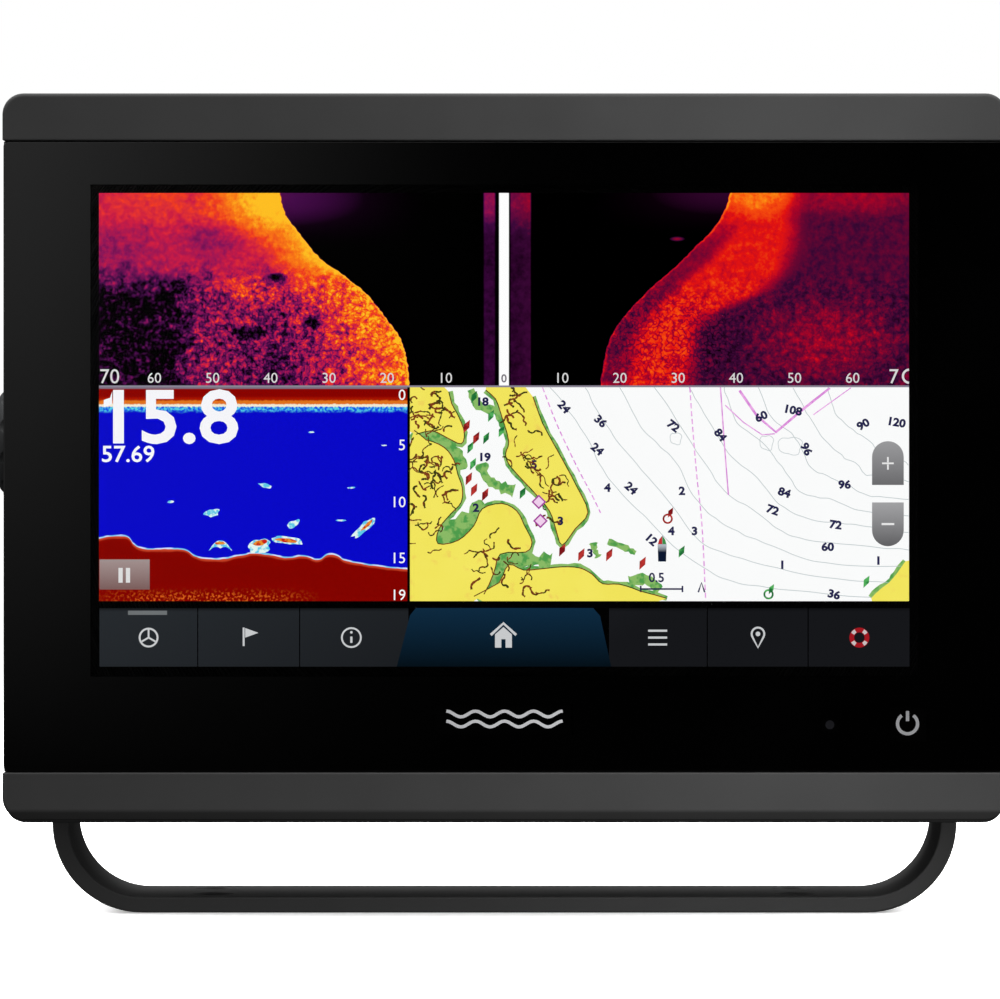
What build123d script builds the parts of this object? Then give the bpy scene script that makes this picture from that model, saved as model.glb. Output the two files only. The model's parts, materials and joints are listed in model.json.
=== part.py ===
from build123d import *
import os
from collections import namedtuple

# A seven-inch chartplotter display on a bail mount. Millimetres.
# The origin is the centre of the bail's foot, on its mounting face. +Z is up, the screen
# faces -Y, and +X is the viewer's right. The unit is drawn level, screen upright.

# ---------------------------------------------------------------- driving dimensions
# Bezel: the face a user sees
UNIT_W = 190.0
UNIT_BOTTOM = 18.1
UNIT_TOP = 156.4
UNIT_CORNER_R = 4.0
TOP_TRIM_H = 8.9
BOTTOM_TRIM_H = 9.8
TRIM_BEVEL_H = 1.5
TRIM_BEVEL_DEPTH = 2.2
TRIM_RIM_H = 0.95  # how far the frame shows below the bottom trim
TRIM_WALL = 1.2
SEAM = 0.15
LOOSE = 0.1  # gap between pieces that are set in by hand
CLEARANCE = 0.6  # extra width of a pocket or slot that a piece drops into

# Depths, front to back
TRIM_FRONT = -40.4
GLASS_FRONT = -40.0
GLASS_T = 1.1
GLASS_CORNER_R = 1.0
GLASS_CHAMFER = 0.2
GLASS_SIDE_GAP = 0.2
TOUCH_T = 0.4
ADHESIVE_T = 0.3
LCD_T = 1.3
LIGHT_GUIDE_T = 2.2
TRAY_T = 0.5
TRIM_BACK = -34.0
FRAME_BACK = -30.0

# Display: 1024 x 600 pixels at 0.15 mm
SCREEN_MID_Z = 92.6
SCREEN_W = 153.6
SCREEN_H = 90.0
TRAY_W = 162.0
TRAY_H = 98.5
TRAY_LIP_GAP = 0.2  # the tray's walls stop this far behind the display's face
PANEL_BORDER = 3.2  # unlit edge of the panel and the touch layer at the sides
PANEL_BORDER_Z = 3.2  # and above and below the lit area
TOUCH_BORDER_Z = 3.4
LIGHT_GUIDE_BORDER = 1.5

# Rear housing
HOUSING_BACK = 20.0
HOUSING_W = 159.0
HOUSING_BOTTOM = 33.0
HOUSING_TOP = 146.5
HOUSING_WALL = 2.5
HOUSING_CORNER_R = 8.0
HOUSING_DRAFT = 2.0
FLANGE_W = 164.0
FLANGE_BOTTOM = 25.5
FLANGE_TOP = 154.5
FLANGE_T = 3.0

# Bail and pivot
PIVOT_Z = 90.6
BAIL_OUTER_X = 87.0
BAIL_T = 3.1
BAIL_DEPTH = 36.0
BAIL_BEND_R = 17.2
BAIL_EDGE_R = 0.4
BAIL_STRAIGHT_Z = 26.0  # above this height the arms narrow
ARM_TOP_R = 13.5
STUD_R = 3.0
STUD_SLOT_R = 3.3
BASE_HOLE_R = 2.3
BASE_COUNTERSINK_R = 4.2
BASE_HOLES_X = 113.0
BASE_HOLES_Y = 18.0
THREAD_GAP = 0.05  # between the stud and its insert, both drawn plain
WASHER_BORE_R = 3.2
FRICTION_WASHER_R = 9.0
FRICTION_WASHER_T = 1.5
KNOB_WASHER_R = 9.5
KNOB_WASHER_GAP = 0.05
KNOB_GAP = 1.0  # between the bail and the knob's foot
INSERT_R = 4.5
INSERT_L = 11.0
STUD_REACH = 8.0  # how far the stud goes into its insert
STUD_GRIP = 4.0  # and into its knob
PIVOT_PAD_R = 11.0
PIVOT_BOSS_R = 7.5
PIVOT_BOSS_END_T = 1.5
KNOB_R = 10.5
KNOB_OUTER_X = 98.7

# Flush-mount holes behind the trims
FLUSH_X = 176.0
FLUSH_Z = 128.9
FLUSH_HOLE_R = 1.9
FLUSH_HEAD_R = 3.7

# Circuit boards
BOARD_T = 1.6
CHASSIS_T = 1.5
MAIN_BOARD_FRONT = -24.0
SONAR_BOARD_FRONT = -8.0

# Card bay, on the back of the housing
CARD_X = 54.0
CARD_Z = 110.0
CARD_PITCH = 8.0
CARD_W = 11.0
CARD_L = 15.0
CARD_T = 1.0
DOOR_W = 33.0
DOOR_H = 28.0
DOOR_T = 2.0
DOOR_SEAL_T = 0.8
BAY_FLOOR = 12.0

# ---------------------------------------------------------------- derived dimensions
UNIT_MID_Z = (UNIT_TOP + UNIT_BOTTOM) / 2
UNIT_H = UNIT_TOP - UNIT_BOTTOM
TRIM_BOTTOM = UNIT_BOTTOM + TRIM_RIM_H
TRIM_OUTLINE_H = UNIT_TOP - TRIM_BOTTOM
TRIM_OUTLINE_MID_Z = (UNIT_TOP + TRIM_BOTTOM) / 2
TRIM_INSET = TRIM_WALL + LOOSE

GLASS_W = UNIT_W - 2 * GLASS_SIDE_GAP
GLASS_BOTTOM = UNIT_BOTTOM + BOTTOM_TRIM_H + SEAM
GLASS_TOP = UNIT_TOP - TOP_TRIM_H - SEAM
GLASS_H = GLASS_TOP - GLASS_BOTTOM
GLASS_MID_Z = (GLASS_TOP + GLASS_BOTTOM) / 2
GLASS_BACK = GLASS_FRONT + GLASS_T
FRAME_FRONT = GLASS_BACK + ADHESIVE_T
LCD_FRONT = GLASS_BACK + TOUCH_T
LIGHT_GUIDE_FRONT = LCD_FRONT + LCD_T
TRAY_FLOOR = LIGHT_GUIDE_FRONT + LIGHT_GUIDE_T
TRAY_BACK = TRAY_FLOOR + TRAY_T
WEB_FRONT = TRAY_BACK + LOOSE
LCD_W = SCREEN_W + 2 * PANEL_BORDER
LCD_H = SCREEN_H + 2 * PANEL_BORDER_Z
LCD_BOTTOM = SCREEN_MID_Z - LCD_H / 2
TOUCH_W = SCREEN_W + 2 * PANEL_BORDER
TOUCH_H = SCREEN_H + 2 * TOUCH_BORDER_Z
TOUCH_BOTTOM = SCREEN_MID_Z - TOUCH_H / 2

CHASSIS_BACK = FRAME_BACK + CHASSIS_T
MAIN_BOARD_BACK = MAIN_BOARD_FRONT + BOARD_T
SONAR_BOARD_BACK = SONAR_BOARD_FRONT + BOARD_T
HOUSING_INNER = HOUSING_BACK - HOUSING_WALL
FLANGE_BACK = FRAME_BACK + FLANGE_T
HOUSING_H = HOUSING_TOP - HOUSING_BOTTOM
HOUSING_MID_Z = (HOUSING_TOP + HOUSING_BOTTOM) / 2

BAIL_INNER_X = BAIL_OUTER_X - BAIL_T
BOSS_X = BAIL_INNER_X - LOOSE - FRICTION_WASHER_T
KNOB_WASHER_X = BAIL_OUTER_X + KNOB_WASHER_GAP
KNOB_INNER_X = BAIL_OUTER_X + KNOB_GAP
INSERT_X = BOSS_X - INSERT_L
STUD_TIP_X = BOSS_X - STUD_REACH
STUD_END_X = KNOB_INNER_X + STUD_GRIP

DOOR_INNER = HOUSING_BACK - DOOR_T
DOOR_REST = DOOR_INNER - DOOR_SEAL_T
HINGE_OUT = 1.9  # how far the hinge pin lies beside the door
HINGE_PROUD = 1.8  # and how far behind the housing's back
HINGE_X = CARD_X - DOOR_W / 2 - HINGE_OUT
HINGE_Y = HOUSING_BACK + HINGE_PROUD
HINGE_R = 1.7
HINGE_PIN_R = 0.8
HINGE_PIN_GAP = 0.04
HINGE_H = 20.0
DOOR_KNUCKLE_H = 13.6


def facing(y):
    """The plane across the unit at depth y: local x is +X, local y is +Z, outwards is -Y."""
    return Plane(origin=(0, y, 0), x_dir=(1, 0, 0), z_dir=(0, -1, 0))


PIVOT_PLANE = Plane(origin=(0, 0, PIVOT_Z), x_dir=(1, 0, 0), z_dir=(0, -1, 0))
PIVOT_AXIS = Axis((0, 0, PIVOT_Z), (1, 0, 0))

os.makedirs("parts", exist_ok=True)


def save(part, name):
    """Label a finished piece and write it as its own STEP file."""
    part.label = name
    export_step(part, f"parts/{name}.step")


# ---------------------------------------------------------------- bail
with BuildPart() as bail_bracket:
    arm_height = PIVOT_Z + ARM_TOP_R
    with BuildSketch(facing(0)):
        with BuildLine():
            FilletPolyline(
                (-BAIL_OUTER_X, arm_height),
                (-BAIL_OUTER_X, 0),
                (BAIL_OUTER_X, 0),
                (BAIL_OUTER_X, arm_height),
                radius=BAIL_BEND_R,
            )
            offset(amount=BAIL_T, side=Side.LEFT)
        make_face()
    extrude(amount=BAIL_DEPTH / 2, both=True)
    # Seen from the side the arms stay wide near the foot, then narrow to a round end
    with BuildSketch(Plane.YZ):
        with Locations((0, BAIL_STRAIGHT_Z / 2)):
            Rectangle(BAIL_DEPTH, BAIL_STRAIGHT_Z)
        with Locations((0, PIVOT_Z)):
            Circle(ARM_TOP_R)
        make_hull()
    extrude(amount=BAIL_OUTER_X, both=True, mode=Mode.INTERSECT)
    # Slots open at the top, so the unit drops in with its knobs only loosened
    with BuildSketch(Plane.YZ):
        with Locations((0, PIVOT_Z)):
            Circle(STUD_SLOT_R)
        with Locations((0, PIVOT_Z + ARM_TOP_R / 2)):
            Rectangle(2 * STUD_SLOT_R, ARM_TOP_R)
    extrude(amount=BAIL_OUTER_X, both=True, mode=Mode.SUBTRACT)
    with Locations(Plane.XY.offset(BAIL_T)):
        with GridLocations(BASE_HOLES_X, BASE_HOLES_Y, 2, 2):
            CounterSinkHole(BASE_HOLE_R, BASE_COUNTERSINK_R)
    long_edges = bail_bracket.edges().filter_by(Axis.X).filter_by(lambda e: e.length > BAIL_OUTER_X)
    fillet(long_edges, BAIL_EDGE_R)
save(bail_bracket.part, "bail_bracket")


# ---------------------------------------------------------------- clamp knobs
def clamp_knob(side):
    """A fluted knob on the pivot axis. side is +1 for the right, -1 for the left."""
    rim = 3.0
    foot_bevel = 1.5
    recess_r = 6.0
    recess_depth = 0.8
    flute_count = 10
    flute_r = 2.4
    flute_reach = 0.8  # how far a flute cuts into the rim
    with BuildPart() as knob:
        with BuildSketch(PIVOT_PLANE):
            with BuildLine():
                Polyline(
                    (side * KNOB_OUTER_X, KNOB_R - rim),
                    (side * KNOB_OUTER_X, recess_r),
                    (side * (KNOB_OUTER_X - recess_depth), recess_r - recess_depth),
                    (side * (KNOB_OUTER_X - recess_depth), 0),
                    (side * KNOB_INNER_X, 0),
                    (side * KNOB_INNER_X, KNOB_R - foot_bevel),
                    (side * (KNOB_INNER_X + foot_bevel), KNOB_R),
                    (side * (KNOB_OUTER_X - rim), KNOB_R),
                )
                RadiusArc(
                    (side * (KNOB_OUTER_X - rim), KNOB_R),
                    (side * KNOB_OUTER_X, KNOB_R - rim),
                    side * rim,
                )
            make_face()
        revolve(axis=PIVOT_AXIS)
        flute_plane = Plane(origin=(side * KNOB_INNER_X, 0, PIVOT_Z), z_dir=(side, 0, 0))
        with BuildSketch(flute_plane.offset(foot_bevel)):
            with PolarLocations(KNOB_R + flute_r - flute_reach, flute_count):
                Circle(flute_r)
        extrude(amount=KNOB_OUTER_X, mode=Mode.SUBTRACT)
        with BuildSketch(flute_plane):
            Circle(STUD_R)
        extrude(amount=STUD_END_X - KNOB_INNER_X, mode=Mode.SUBTRACT)
    return knob.part


def ring_on_pivot(side, inner_x, outer_x, outer_r, bore_r):
    """A plain ring on the pivot axis between two distances from the middle."""
    with BuildPart() as ring:
        with BuildSketch(Plane(origin=(side * inner_x, 0, PIVOT_Z), z_dir=(side, 0, 0))):
            Circle(outer_r)
            Circle(bore_r, mode=Mode.SUBTRACT)
        extrude(amount=outer_x - inner_x)
    return ring.part


def threaded_stud(side):
    """The knob's stud, drawn plain, with a chamfered tip."""
    with BuildPart() as stud:
        with BuildSketch(Plane(origin=(side * STUD_TIP_X, 0, PIVOT_Z), z_dir=(side, 0, 0))):
            Circle(STUD_R)
        extrude(amount=STUD_END_X - STUD_TIP_X)
        tip = stud.faces().sort_by(Axis.X)[0 if side > 0 else -1]
        chamfer(tip.edges(), STUD_R / 4)
    return stud.part


for side_name, side in (("left", -1), ("right", 1)):
    save(clamp_knob(side), f"{side_name}_knob")
    save(threaded_stud(side), f"{side_name}_knob_stud")
    knob_washer = ring_on_pivot(side, KNOB_WASHER_X, KNOB_INNER_X, KNOB_WASHER_R, WASHER_BORE_R)
    save(knob_washer, f"{side_name}_knob_washer")

washer_pair = [
    ring_on_pivot(side, BOSS_X, BAIL_INNER_X - LOOSE, FRICTION_WASHER_R, WASHER_BORE_R) for side in (-1, 1)
]
with BuildPart() as friction_washers:
    add(washer_pair)
save(friction_washers.part, "friction_washers")

insert_pair = [ring_on_pivot(side, INSERT_X, BOSS_X, INSERT_R, STUD_R + THREAD_GAP) for side in (-1, 1)]
with BuildPart() as pivot_inserts:
    add(insert_pair)
save(pivot_inserts.part, "pivot_inserts")

# ---------------------------------------------------------------- cover glass and touch layer
with BuildPart() as cover_glass:
    with BuildSketch(facing(GLASS_FRONT)):
        with Locations((0, GLASS_MID_Z)):
            RectangleRounded(GLASS_W, GLASS_H, GLASS_CORNER_R)
    extrude(amount=-GLASS_T)
    chamfer(cover_glass.faces().sort_by(Axis.Y)[0].edges(), GLASS_CHAMFER)
save(cover_glass.part, "cover_glass")

ADHESIVE_BAND = 4.0
ADHESIVE_W = GLASS_W - 1.5
ADHESIVE_H = GLASS_H - 1.5
with BuildPart() as glass_adhesive:
    with BuildSketch(facing(GLASS_BACK)):
        with Locations((0, GLASS_MID_Z)):
            Rectangle(ADHESIVE_W, ADHESIVE_H)
            Rectangle(ADHESIVE_W - 2 * ADHESIVE_BAND, ADHESIVE_H - 2 * ADHESIVE_BAND, mode=Mode.SUBTRACT)
    extrude(amount=-ADHESIVE_T)
save(glass_adhesive.part, "glass_adhesive")


def slab(y_front, thickness, width, height, x=0.0, z=SCREEN_MID_Z):
    """A plain rectangular sheet facing the viewer."""
    with BuildPart() as sheet:
        with BuildSketch(facing(y_front)):
            with Locations((x, z)):
                Rectangle(width, height)
        extrude(amount=-thickness)
    return sheet.part


save(slab(GLASS_BACK, TOUCH_T, TOUCH_W, TOUCH_H), "touch_sensor")

# ---------------------------------------------------------------- flexible cables
LCD_FLEX_X = -20.0
LCD_FLEX_W = 26.0
TOUCH_FLEX_X = 20.0
TOUCH_FLEX_W = 12.0
KEY_FLEX_X = 66.0
KEY_FLEX_W = 5.0
FLEX_T = 0.24
FLEX_SOCKET_BOTTOM = 47.0
FLEX_SOCKET_H = 5.0
FLEX_SOCKET_DEPTH = 2.2
FLEX_END_Y = MAIN_BOARD_FRONT - FLEX_SOCKET_DEPTH / 2
FLEX_GAP = 1.0
PASSAGE_Z = 43.5
PASSAGE_H = 5.0
LCD_FLEX_LOW_Z = 42.0
TOUCH_FLEX_LOW_Z = 41.6
FLEX_BEND_R = 1.0


def ribbon(path, x, width):
    """A bent ribbon cable: path is its centre line in the Y-Z plane."""
    with BuildPart() as cable:
        with BuildSketch(Plane.YZ.offset(x - width / 2)):
            with BuildLine() as line:
                FilletPolyline(*path, radius=FLEX_BEND_R)
            trace(line.line.edges(), FLEX_T)
        extrude(amount=width)
    return cable.part


def drop_and_return(start_y, start_z, low_z):
    """Down behind the glass, back under the display, and up into a socket on the main board."""
    return (start_y, start_z), (start_y, low_z), (FLEX_END_Y, low_z), (FLEX_END_Y, FLEX_SOCKET_BOTTOM)


lcd_flex_path = drop_and_return(LCD_FRONT + LCD_T / 2, LCD_BOTTOM, LCD_FLEX_LOW_Z)
touch_flex_path = drop_and_return(GLASS_BACK + TOUCH_T / 2, TOUCH_BOTTOM, TOUCH_FLEX_LOW_Z)
save(ribbon(lcd_flex_path, LCD_FLEX_X, LCD_FLEX_W - 2 * FLEX_GAP), "lcd_flex")
save(ribbon(touch_flex_path, TOUCH_FLEX_X, TOUCH_FLEX_W - 2 * FLEX_GAP), "touch_flex")

# ---------------------------------------------------------------- liquid-crystal display
save(slab(LCD_FRONT, LCD_T, LCD_W, LCD_H), "lcd_panel")

LIGHT_GUIDE_W = SCREEN_W + 2 * LIGHT_GUIDE_BORDER
LIGHT_GUIDE_H = SCREEN_H + 2 * LIGHT_GUIDE_BORDER
LIGHT_GUIDE_BOTTOM = SCREEN_MID_Z - LIGHT_GUIDE_H / 2
save(slab(LIGHT_GUIDE_FRONT, LIGHT_GUIDE_T, LIGHT_GUIDE_W, LIGHT_GUIDE_H), "light_guide")

with BuildPart() as lcd_tray:
    with BuildSketch(facing(TRAY_BACK)):
        with Locations((0, SCREEN_MID_Z)):
            Rectangle(TRAY_W, TRAY_H)
    extrude(amount=TRAY_BACK - LCD_FRONT - TRAY_LIP_GAP)
    with BuildSketch(facing(TRAY_FLOOR)):
        with Locations((0, SCREEN_MID_Z)):
            Rectangle(TRAY_W - 2 * TRAY_T, TRAY_H - 2 * TRAY_T)
    extrude(amount=TRAY_FLOOR - LCD_FRONT, mode=Mode.SUBTRACT)
    # The display's ribbon leaves through a notch in the lower wall
    with BuildSketch(facing(LCD_FRONT)):
        with Locations((LCD_FLEX_X, SCREEN_MID_Z - TRAY_H / 2)):
            Rectangle(LCD_FLEX_W, 4 * TRAY_T)
    extrude(amount=-LCD_T, mode=Mode.SUBTRACT)
save(lcd_tray.part, "lcd_tray")

LED_DEPTH = 2.0
LED_FRONT = LIGHT_GUIDE_FRONT + LOOSE
LED_STRIP_T = 0.4
LED_GUIDE_GAP = 0.05
LED_STRIP_MID_Z = SCREEN_MID_Z - TRAY_H / 2 + TRAY_T + LOOSE + LED_STRIP_T / 2
LED_BOTTOM = LED_STRIP_MID_Z + LED_STRIP_T / 2
LED_H = LIGHT_GUIDE_BOTTOM - LED_BOTTOM - LED_GUIDE_GAP
LED_COUNT = 24
LED_PITCH = 6.4
LED_W = 3.0
with BuildPart() as backlight_strip:
    with BuildSketch(facing(LED_FRONT)):
        with Locations((0, LED_STRIP_MID_Z)):
            Rectangle(SCREEN_W, LED_STRIP_T)
        with Locations((0, LED_BOTTOM + LED_H / 2)):
            with GridLocations(LED_PITCH, 0, LED_COUNT, 1):
                Rectangle(LED_W, LED_H)
    extrude(amount=-LED_DEPTH)
save(backlight_strip.part, "backlight_strip")

# ---------------------------------------------------------------- power key and light sensor
KEY_BOARD_X = 69.0
KEY_BOARD_Z = 37.2
KEY_BOARD_W = 30.0
KEY_BOARD_H = 6.8
KEY_BOARD_T = 1.0
SENSOR_X = 61.6
SENSOR_Z = 36.9
SENSOR_WINDOW_R = 0.8
SENSOR_SIZE = 2.2
SENSOR_T = 0.8
KEY_POCKET_DEPTH = 2.1
KEY_POCKET_FLOOR = GLASS_BACK + KEY_POCKET_DEPTH
with BuildPart() as key_board:
    with BuildSketch(facing(GLASS_BACK)):
        with Locations((KEY_BOARD_X, KEY_BOARD_Z)):
            Rectangle(KEY_BOARD_W, KEY_BOARD_H)
        with Locations((SENSOR_X, SENSOR_Z)):
            Circle(SENSOR_WINDOW_R, mode=Mode.SUBTRACT)
    extrude(amount=-KEY_BOARD_T)
save(key_board.part, "key_board")
save(slab(GLASS_BACK + KEY_BOARD_T, SENSOR_T, SENSOR_SIZE, SENSOR_SIZE, SENSOR_X, SENSOR_Z), "light_sensor")

KEY_FLEX_Z = 38.8
KEY_PASSAGE_H = 1.2
key_flex_path = (
    (GLASS_BACK + KEY_BOARD_T, KEY_FLEX_Z),
    (FLEX_END_Y, KEY_FLEX_Z),
    (FLEX_END_Y, FLEX_SOCKET_BOTTOM),
)
save(ribbon(key_flex_path, KEY_FLEX_X, KEY_FLEX_W), "key_flex")

# ---------------------------------------------------------------- trims
TAB_XS = (-50.0, -8.0, 8.0, 50.0)
TAB_W = 6.0
TAB_T = 1.2
TAB_L = 3.5
TRIM_SKIN_BACK = FRAME_FRONT - 2 * LOOSE
TRIM_EDGE_R = 0.7
GLASS_EDGE_R = 0.25
TOP_TAB_Z = UNIT_TOP - TOP_TRIM_H / 2
BOTTOM_TAB_Z = UNIT_BOTTOM + BOTTOM_TRIM_H / 2


def trim_cap(low_z, high_z, tab_z, bevelled):
    """A clip-on strip that covers the frame's upper or lower band and wraps its outer edge."""
    with BuildPart() as cap:
        with BuildSketch(facing(TRIM_BACK)):
            with Locations((0, TRIM_OUTLINE_MID_Z)):
                RectangleRounded(UNIT_W, TRIM_OUTLINE_H, UNIT_CORNER_R)
        extrude(amount=TRIM_BACK - TRIM_FRONT)
        with BuildSketch(facing(TRIM_BACK)):
            with Locations((0, (low_z + high_z) / 2)):
                Rectangle(2 * UNIT_W, high_z - low_z)
        extrude(amount=TRIM_BACK - TRIM_FRONT, mode=Mode.INTERSECT)
        if bevelled:
            with BuildSketch(Plane.YZ):
                with BuildLine():
                    Polyline(
                        (TRIM_FRONT, TRIM_BOTTOM),
                        (TRIM_FRONT, TRIM_BOTTOM + TRIM_BEVEL_H),
                        (TRIM_FRONT + TRIM_BEVEL_DEPTH, TRIM_BOTTOM),
                        close=True,
                    )
                make_face()
            extrude(amount=UNIT_W, both=True, mode=Mode.SUBTRACT)
        front = cap.faces().sort_by(Axis.Y)[0]
        glass_side_z = high_z if bevelled else low_z
        rim = front.edges().filter_by(lambda e: abs(e.center().Z - glass_side_z) > TRIM_EDGE_R)
        fillet(rim, TRIM_EDGE_R)
        front = cap.faces().sort_by(Axis.Y)[0]
        glass_edge = front.edges().filter_by(Axis.X).sort_by(lambda e: abs(e.center().Z - glass_side_z))[0]
        fillet(glass_edge, GLASS_EDGE_R)
        with BuildSketch(facing(TRIM_BACK)):
            with Locations((0, TRIM_OUTLINE_MID_Z)):
                RectangleRounded(
                    UNIT_W - 2 * TRIM_WALL, TRIM_OUTLINE_H - 2 * TRIM_WALL, UNIT_CORNER_R - TRIM_WALL
                )
        extrude(amount=TRIM_BACK - TRIM_SKIN_BACK, mode=Mode.SUBTRACT)
        with BuildSketch(facing(TRIM_SKIN_BACK)):
            for x in TAB_XS:
                with Locations((x, tab_z)):
                    Rectangle(TAB_W, TAB_T)
        extrude(amount=-TAB_L)
    return cap.part


save(trim_cap(UNIT_TOP - TOP_TRIM_H, UNIT_TOP, TOP_TAB_Z, False), "top_trim")
save(trim_cap(TRIM_BOTTOM, UNIT_BOTTOM + BOTTOM_TRIM_H, BOTTOM_TAB_Z, True), "bottom_trim")

# ---------------------------------------------------------------- front frame
FLUSH_MID_Z = (TOP_TAB_Z + BOTTOM_TAB_Z) / 2
FRAME_EDGE_R = 0.8
POCKET_W = TRAY_W + CLEARANCE
POCKET_H = TRAY_H + CLEARANCE
WEB_OPENING_W = 124.0
WEB_OPENING_H = 80.0
HOUSING_SCREW_XS = (-72.0, -24.0, 24.0, 72.0)
HOUSING_SCREW_ZS = (29.5, 150.5)
HOUSING_SCREW_R = 1.5
HOUSING_SCREW_L = 9.0
HOUSING_HEAD_R = 2.7
HOUSING_HEAD_T = 2.0
CHASSIS_SCREWS = ((-66.0, 138.5), (66.0, 138.5), (-48.0, 39.6), (48.0, 39.6))
SMALL_SCREW_R = 1.25
SMALL_SCREW_L = 5.0
SMALL_HEAD_R = 2.3
SMALL_HEAD_T = 1.6

with BuildPart() as front_frame:
    with BuildSketch(facing(FRAME_BACK)):
        with Locations((0, UNIT_MID_Z)):
            RectangleRounded(UNIT_W, UNIT_H, UNIT_CORNER_R)
    extrude(amount=FRAME_BACK - TRIM_BACK)
    rim = front_frame.faces().sort_by(Axis.Y)
    fillet(rim[0].edges() + rim[-1].edges(), FRAME_EDGE_R)
    # Behind the trims the frame steps in by the trims' wall
    with BuildSketch(facing(TRIM_BACK + FRAME_EDGE_R)):
        with Locations((0, TRIM_OUTLINE_MID_Z)):
            RectangleRounded(
                UNIT_W - 2 * TRIM_INSET, TRIM_OUTLINE_H - 2 * TRIM_INSET, UNIT_CORNER_R - TRIM_INSET
            )
    extrude(amount=TRIM_BACK + FRAME_EDGE_R - FRAME_FRONT)
    # Beside the glass it keeps its full width
    with BuildSketch(facing(TRIM_BACK + FRAME_EDGE_R)):
        with Locations((0, GLASS_MID_Z)):
            Rectangle(GLASS_W, GLASS_H - LOOSE)
    extrude(amount=TRIM_BACK + FRAME_EDGE_R - FRAME_FRONT)
    with BuildSketch(facing(FRAME_FRONT)):
        with Locations((0, SCREEN_MID_Z)):
            Rectangle(POCKET_W, POCKET_H)
    extrude(amount=FRAME_FRONT - WEB_FRONT, mode=Mode.SUBTRACT)
    with BuildSketch(facing(FRAME_BACK)):
        with Locations((0, SCREEN_MID_Z)):
            Rectangle(WEB_OPENING_W, WEB_OPENING_H)
    extrude(amount=FRAME_BACK - FRAME_FRONT, mode=Mode.SUBTRACT)
    # Passages for the ribbons
    with BuildSketch(facing(FRAME_FRONT)):
        with Locations((LCD_FLEX_X, PASSAGE_Z)):
            Rectangle(LCD_FLEX_W, PASSAGE_H)
        with Locations((TOUCH_FLEX_X, PASSAGE_Z)):
            Rectangle(TOUCH_FLEX_W, PASSAGE_H)
        with Locations((KEY_FLEX_X, KEY_FLEX_Z)):
            Rectangle(KEY_FLEX_W + FLEX_GAP, KEY_PASSAGE_H)
    extrude(amount=FRAME_FRONT - FRAME_BACK, mode=Mode.SUBTRACT)
    with BuildSketch(facing(FRAME_FRONT)):
        with Locations((KEY_BOARD_X, KEY_BOARD_Z)):
            Rectangle(KEY_BOARD_W + CLEARANCE, KEY_BOARD_H + CLEARANCE)
    extrude(amount=FRAME_FRONT - KEY_POCKET_FLOOR, mode=Mode.SUBTRACT)
    with BuildSketch(facing(FRAME_FRONT)):
        for x in TAB_XS:
            with Locations((x, TOP_TAB_Z), (x, BOTTOM_TAB_Z)):
                Rectangle(TAB_W + 2 * LOOSE, TAB_T + 2 * LOOSE)
    extrude(amount=-TAB_L, mode=Mode.SUBTRACT)
    with Locations(facing(FRAME_FRONT)):
        with Locations((0, FLUSH_MID_Z)):
            with GridLocations(FLUSH_X, FLUSH_Z, 2, 2):
                CounterSinkHole(FLUSH_HOLE_R, FLUSH_HEAD_R)
    with BuildSketch(facing(FRAME_BACK)):
        for x in HOUSING_SCREW_XS:
            for z in HOUSING_SCREW_ZS:
                with Locations((x, z)):
                    Circle(HOUSING_SCREW_R)
    extrude(amount=HOUSING_SCREW_L - FLANGE_T, mode=Mode.SUBTRACT)
    with BuildSketch(facing(FRAME_BACK)):
        with Locations(*CHASSIS_SCREWS):
            Circle(SMALL_SCREW_R)
    extrude(amount=SMALL_SCREW_L - CHASSIS_T, mode=Mode.SUBTRACT)
save(front_frame.part, "front_frame")

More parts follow.
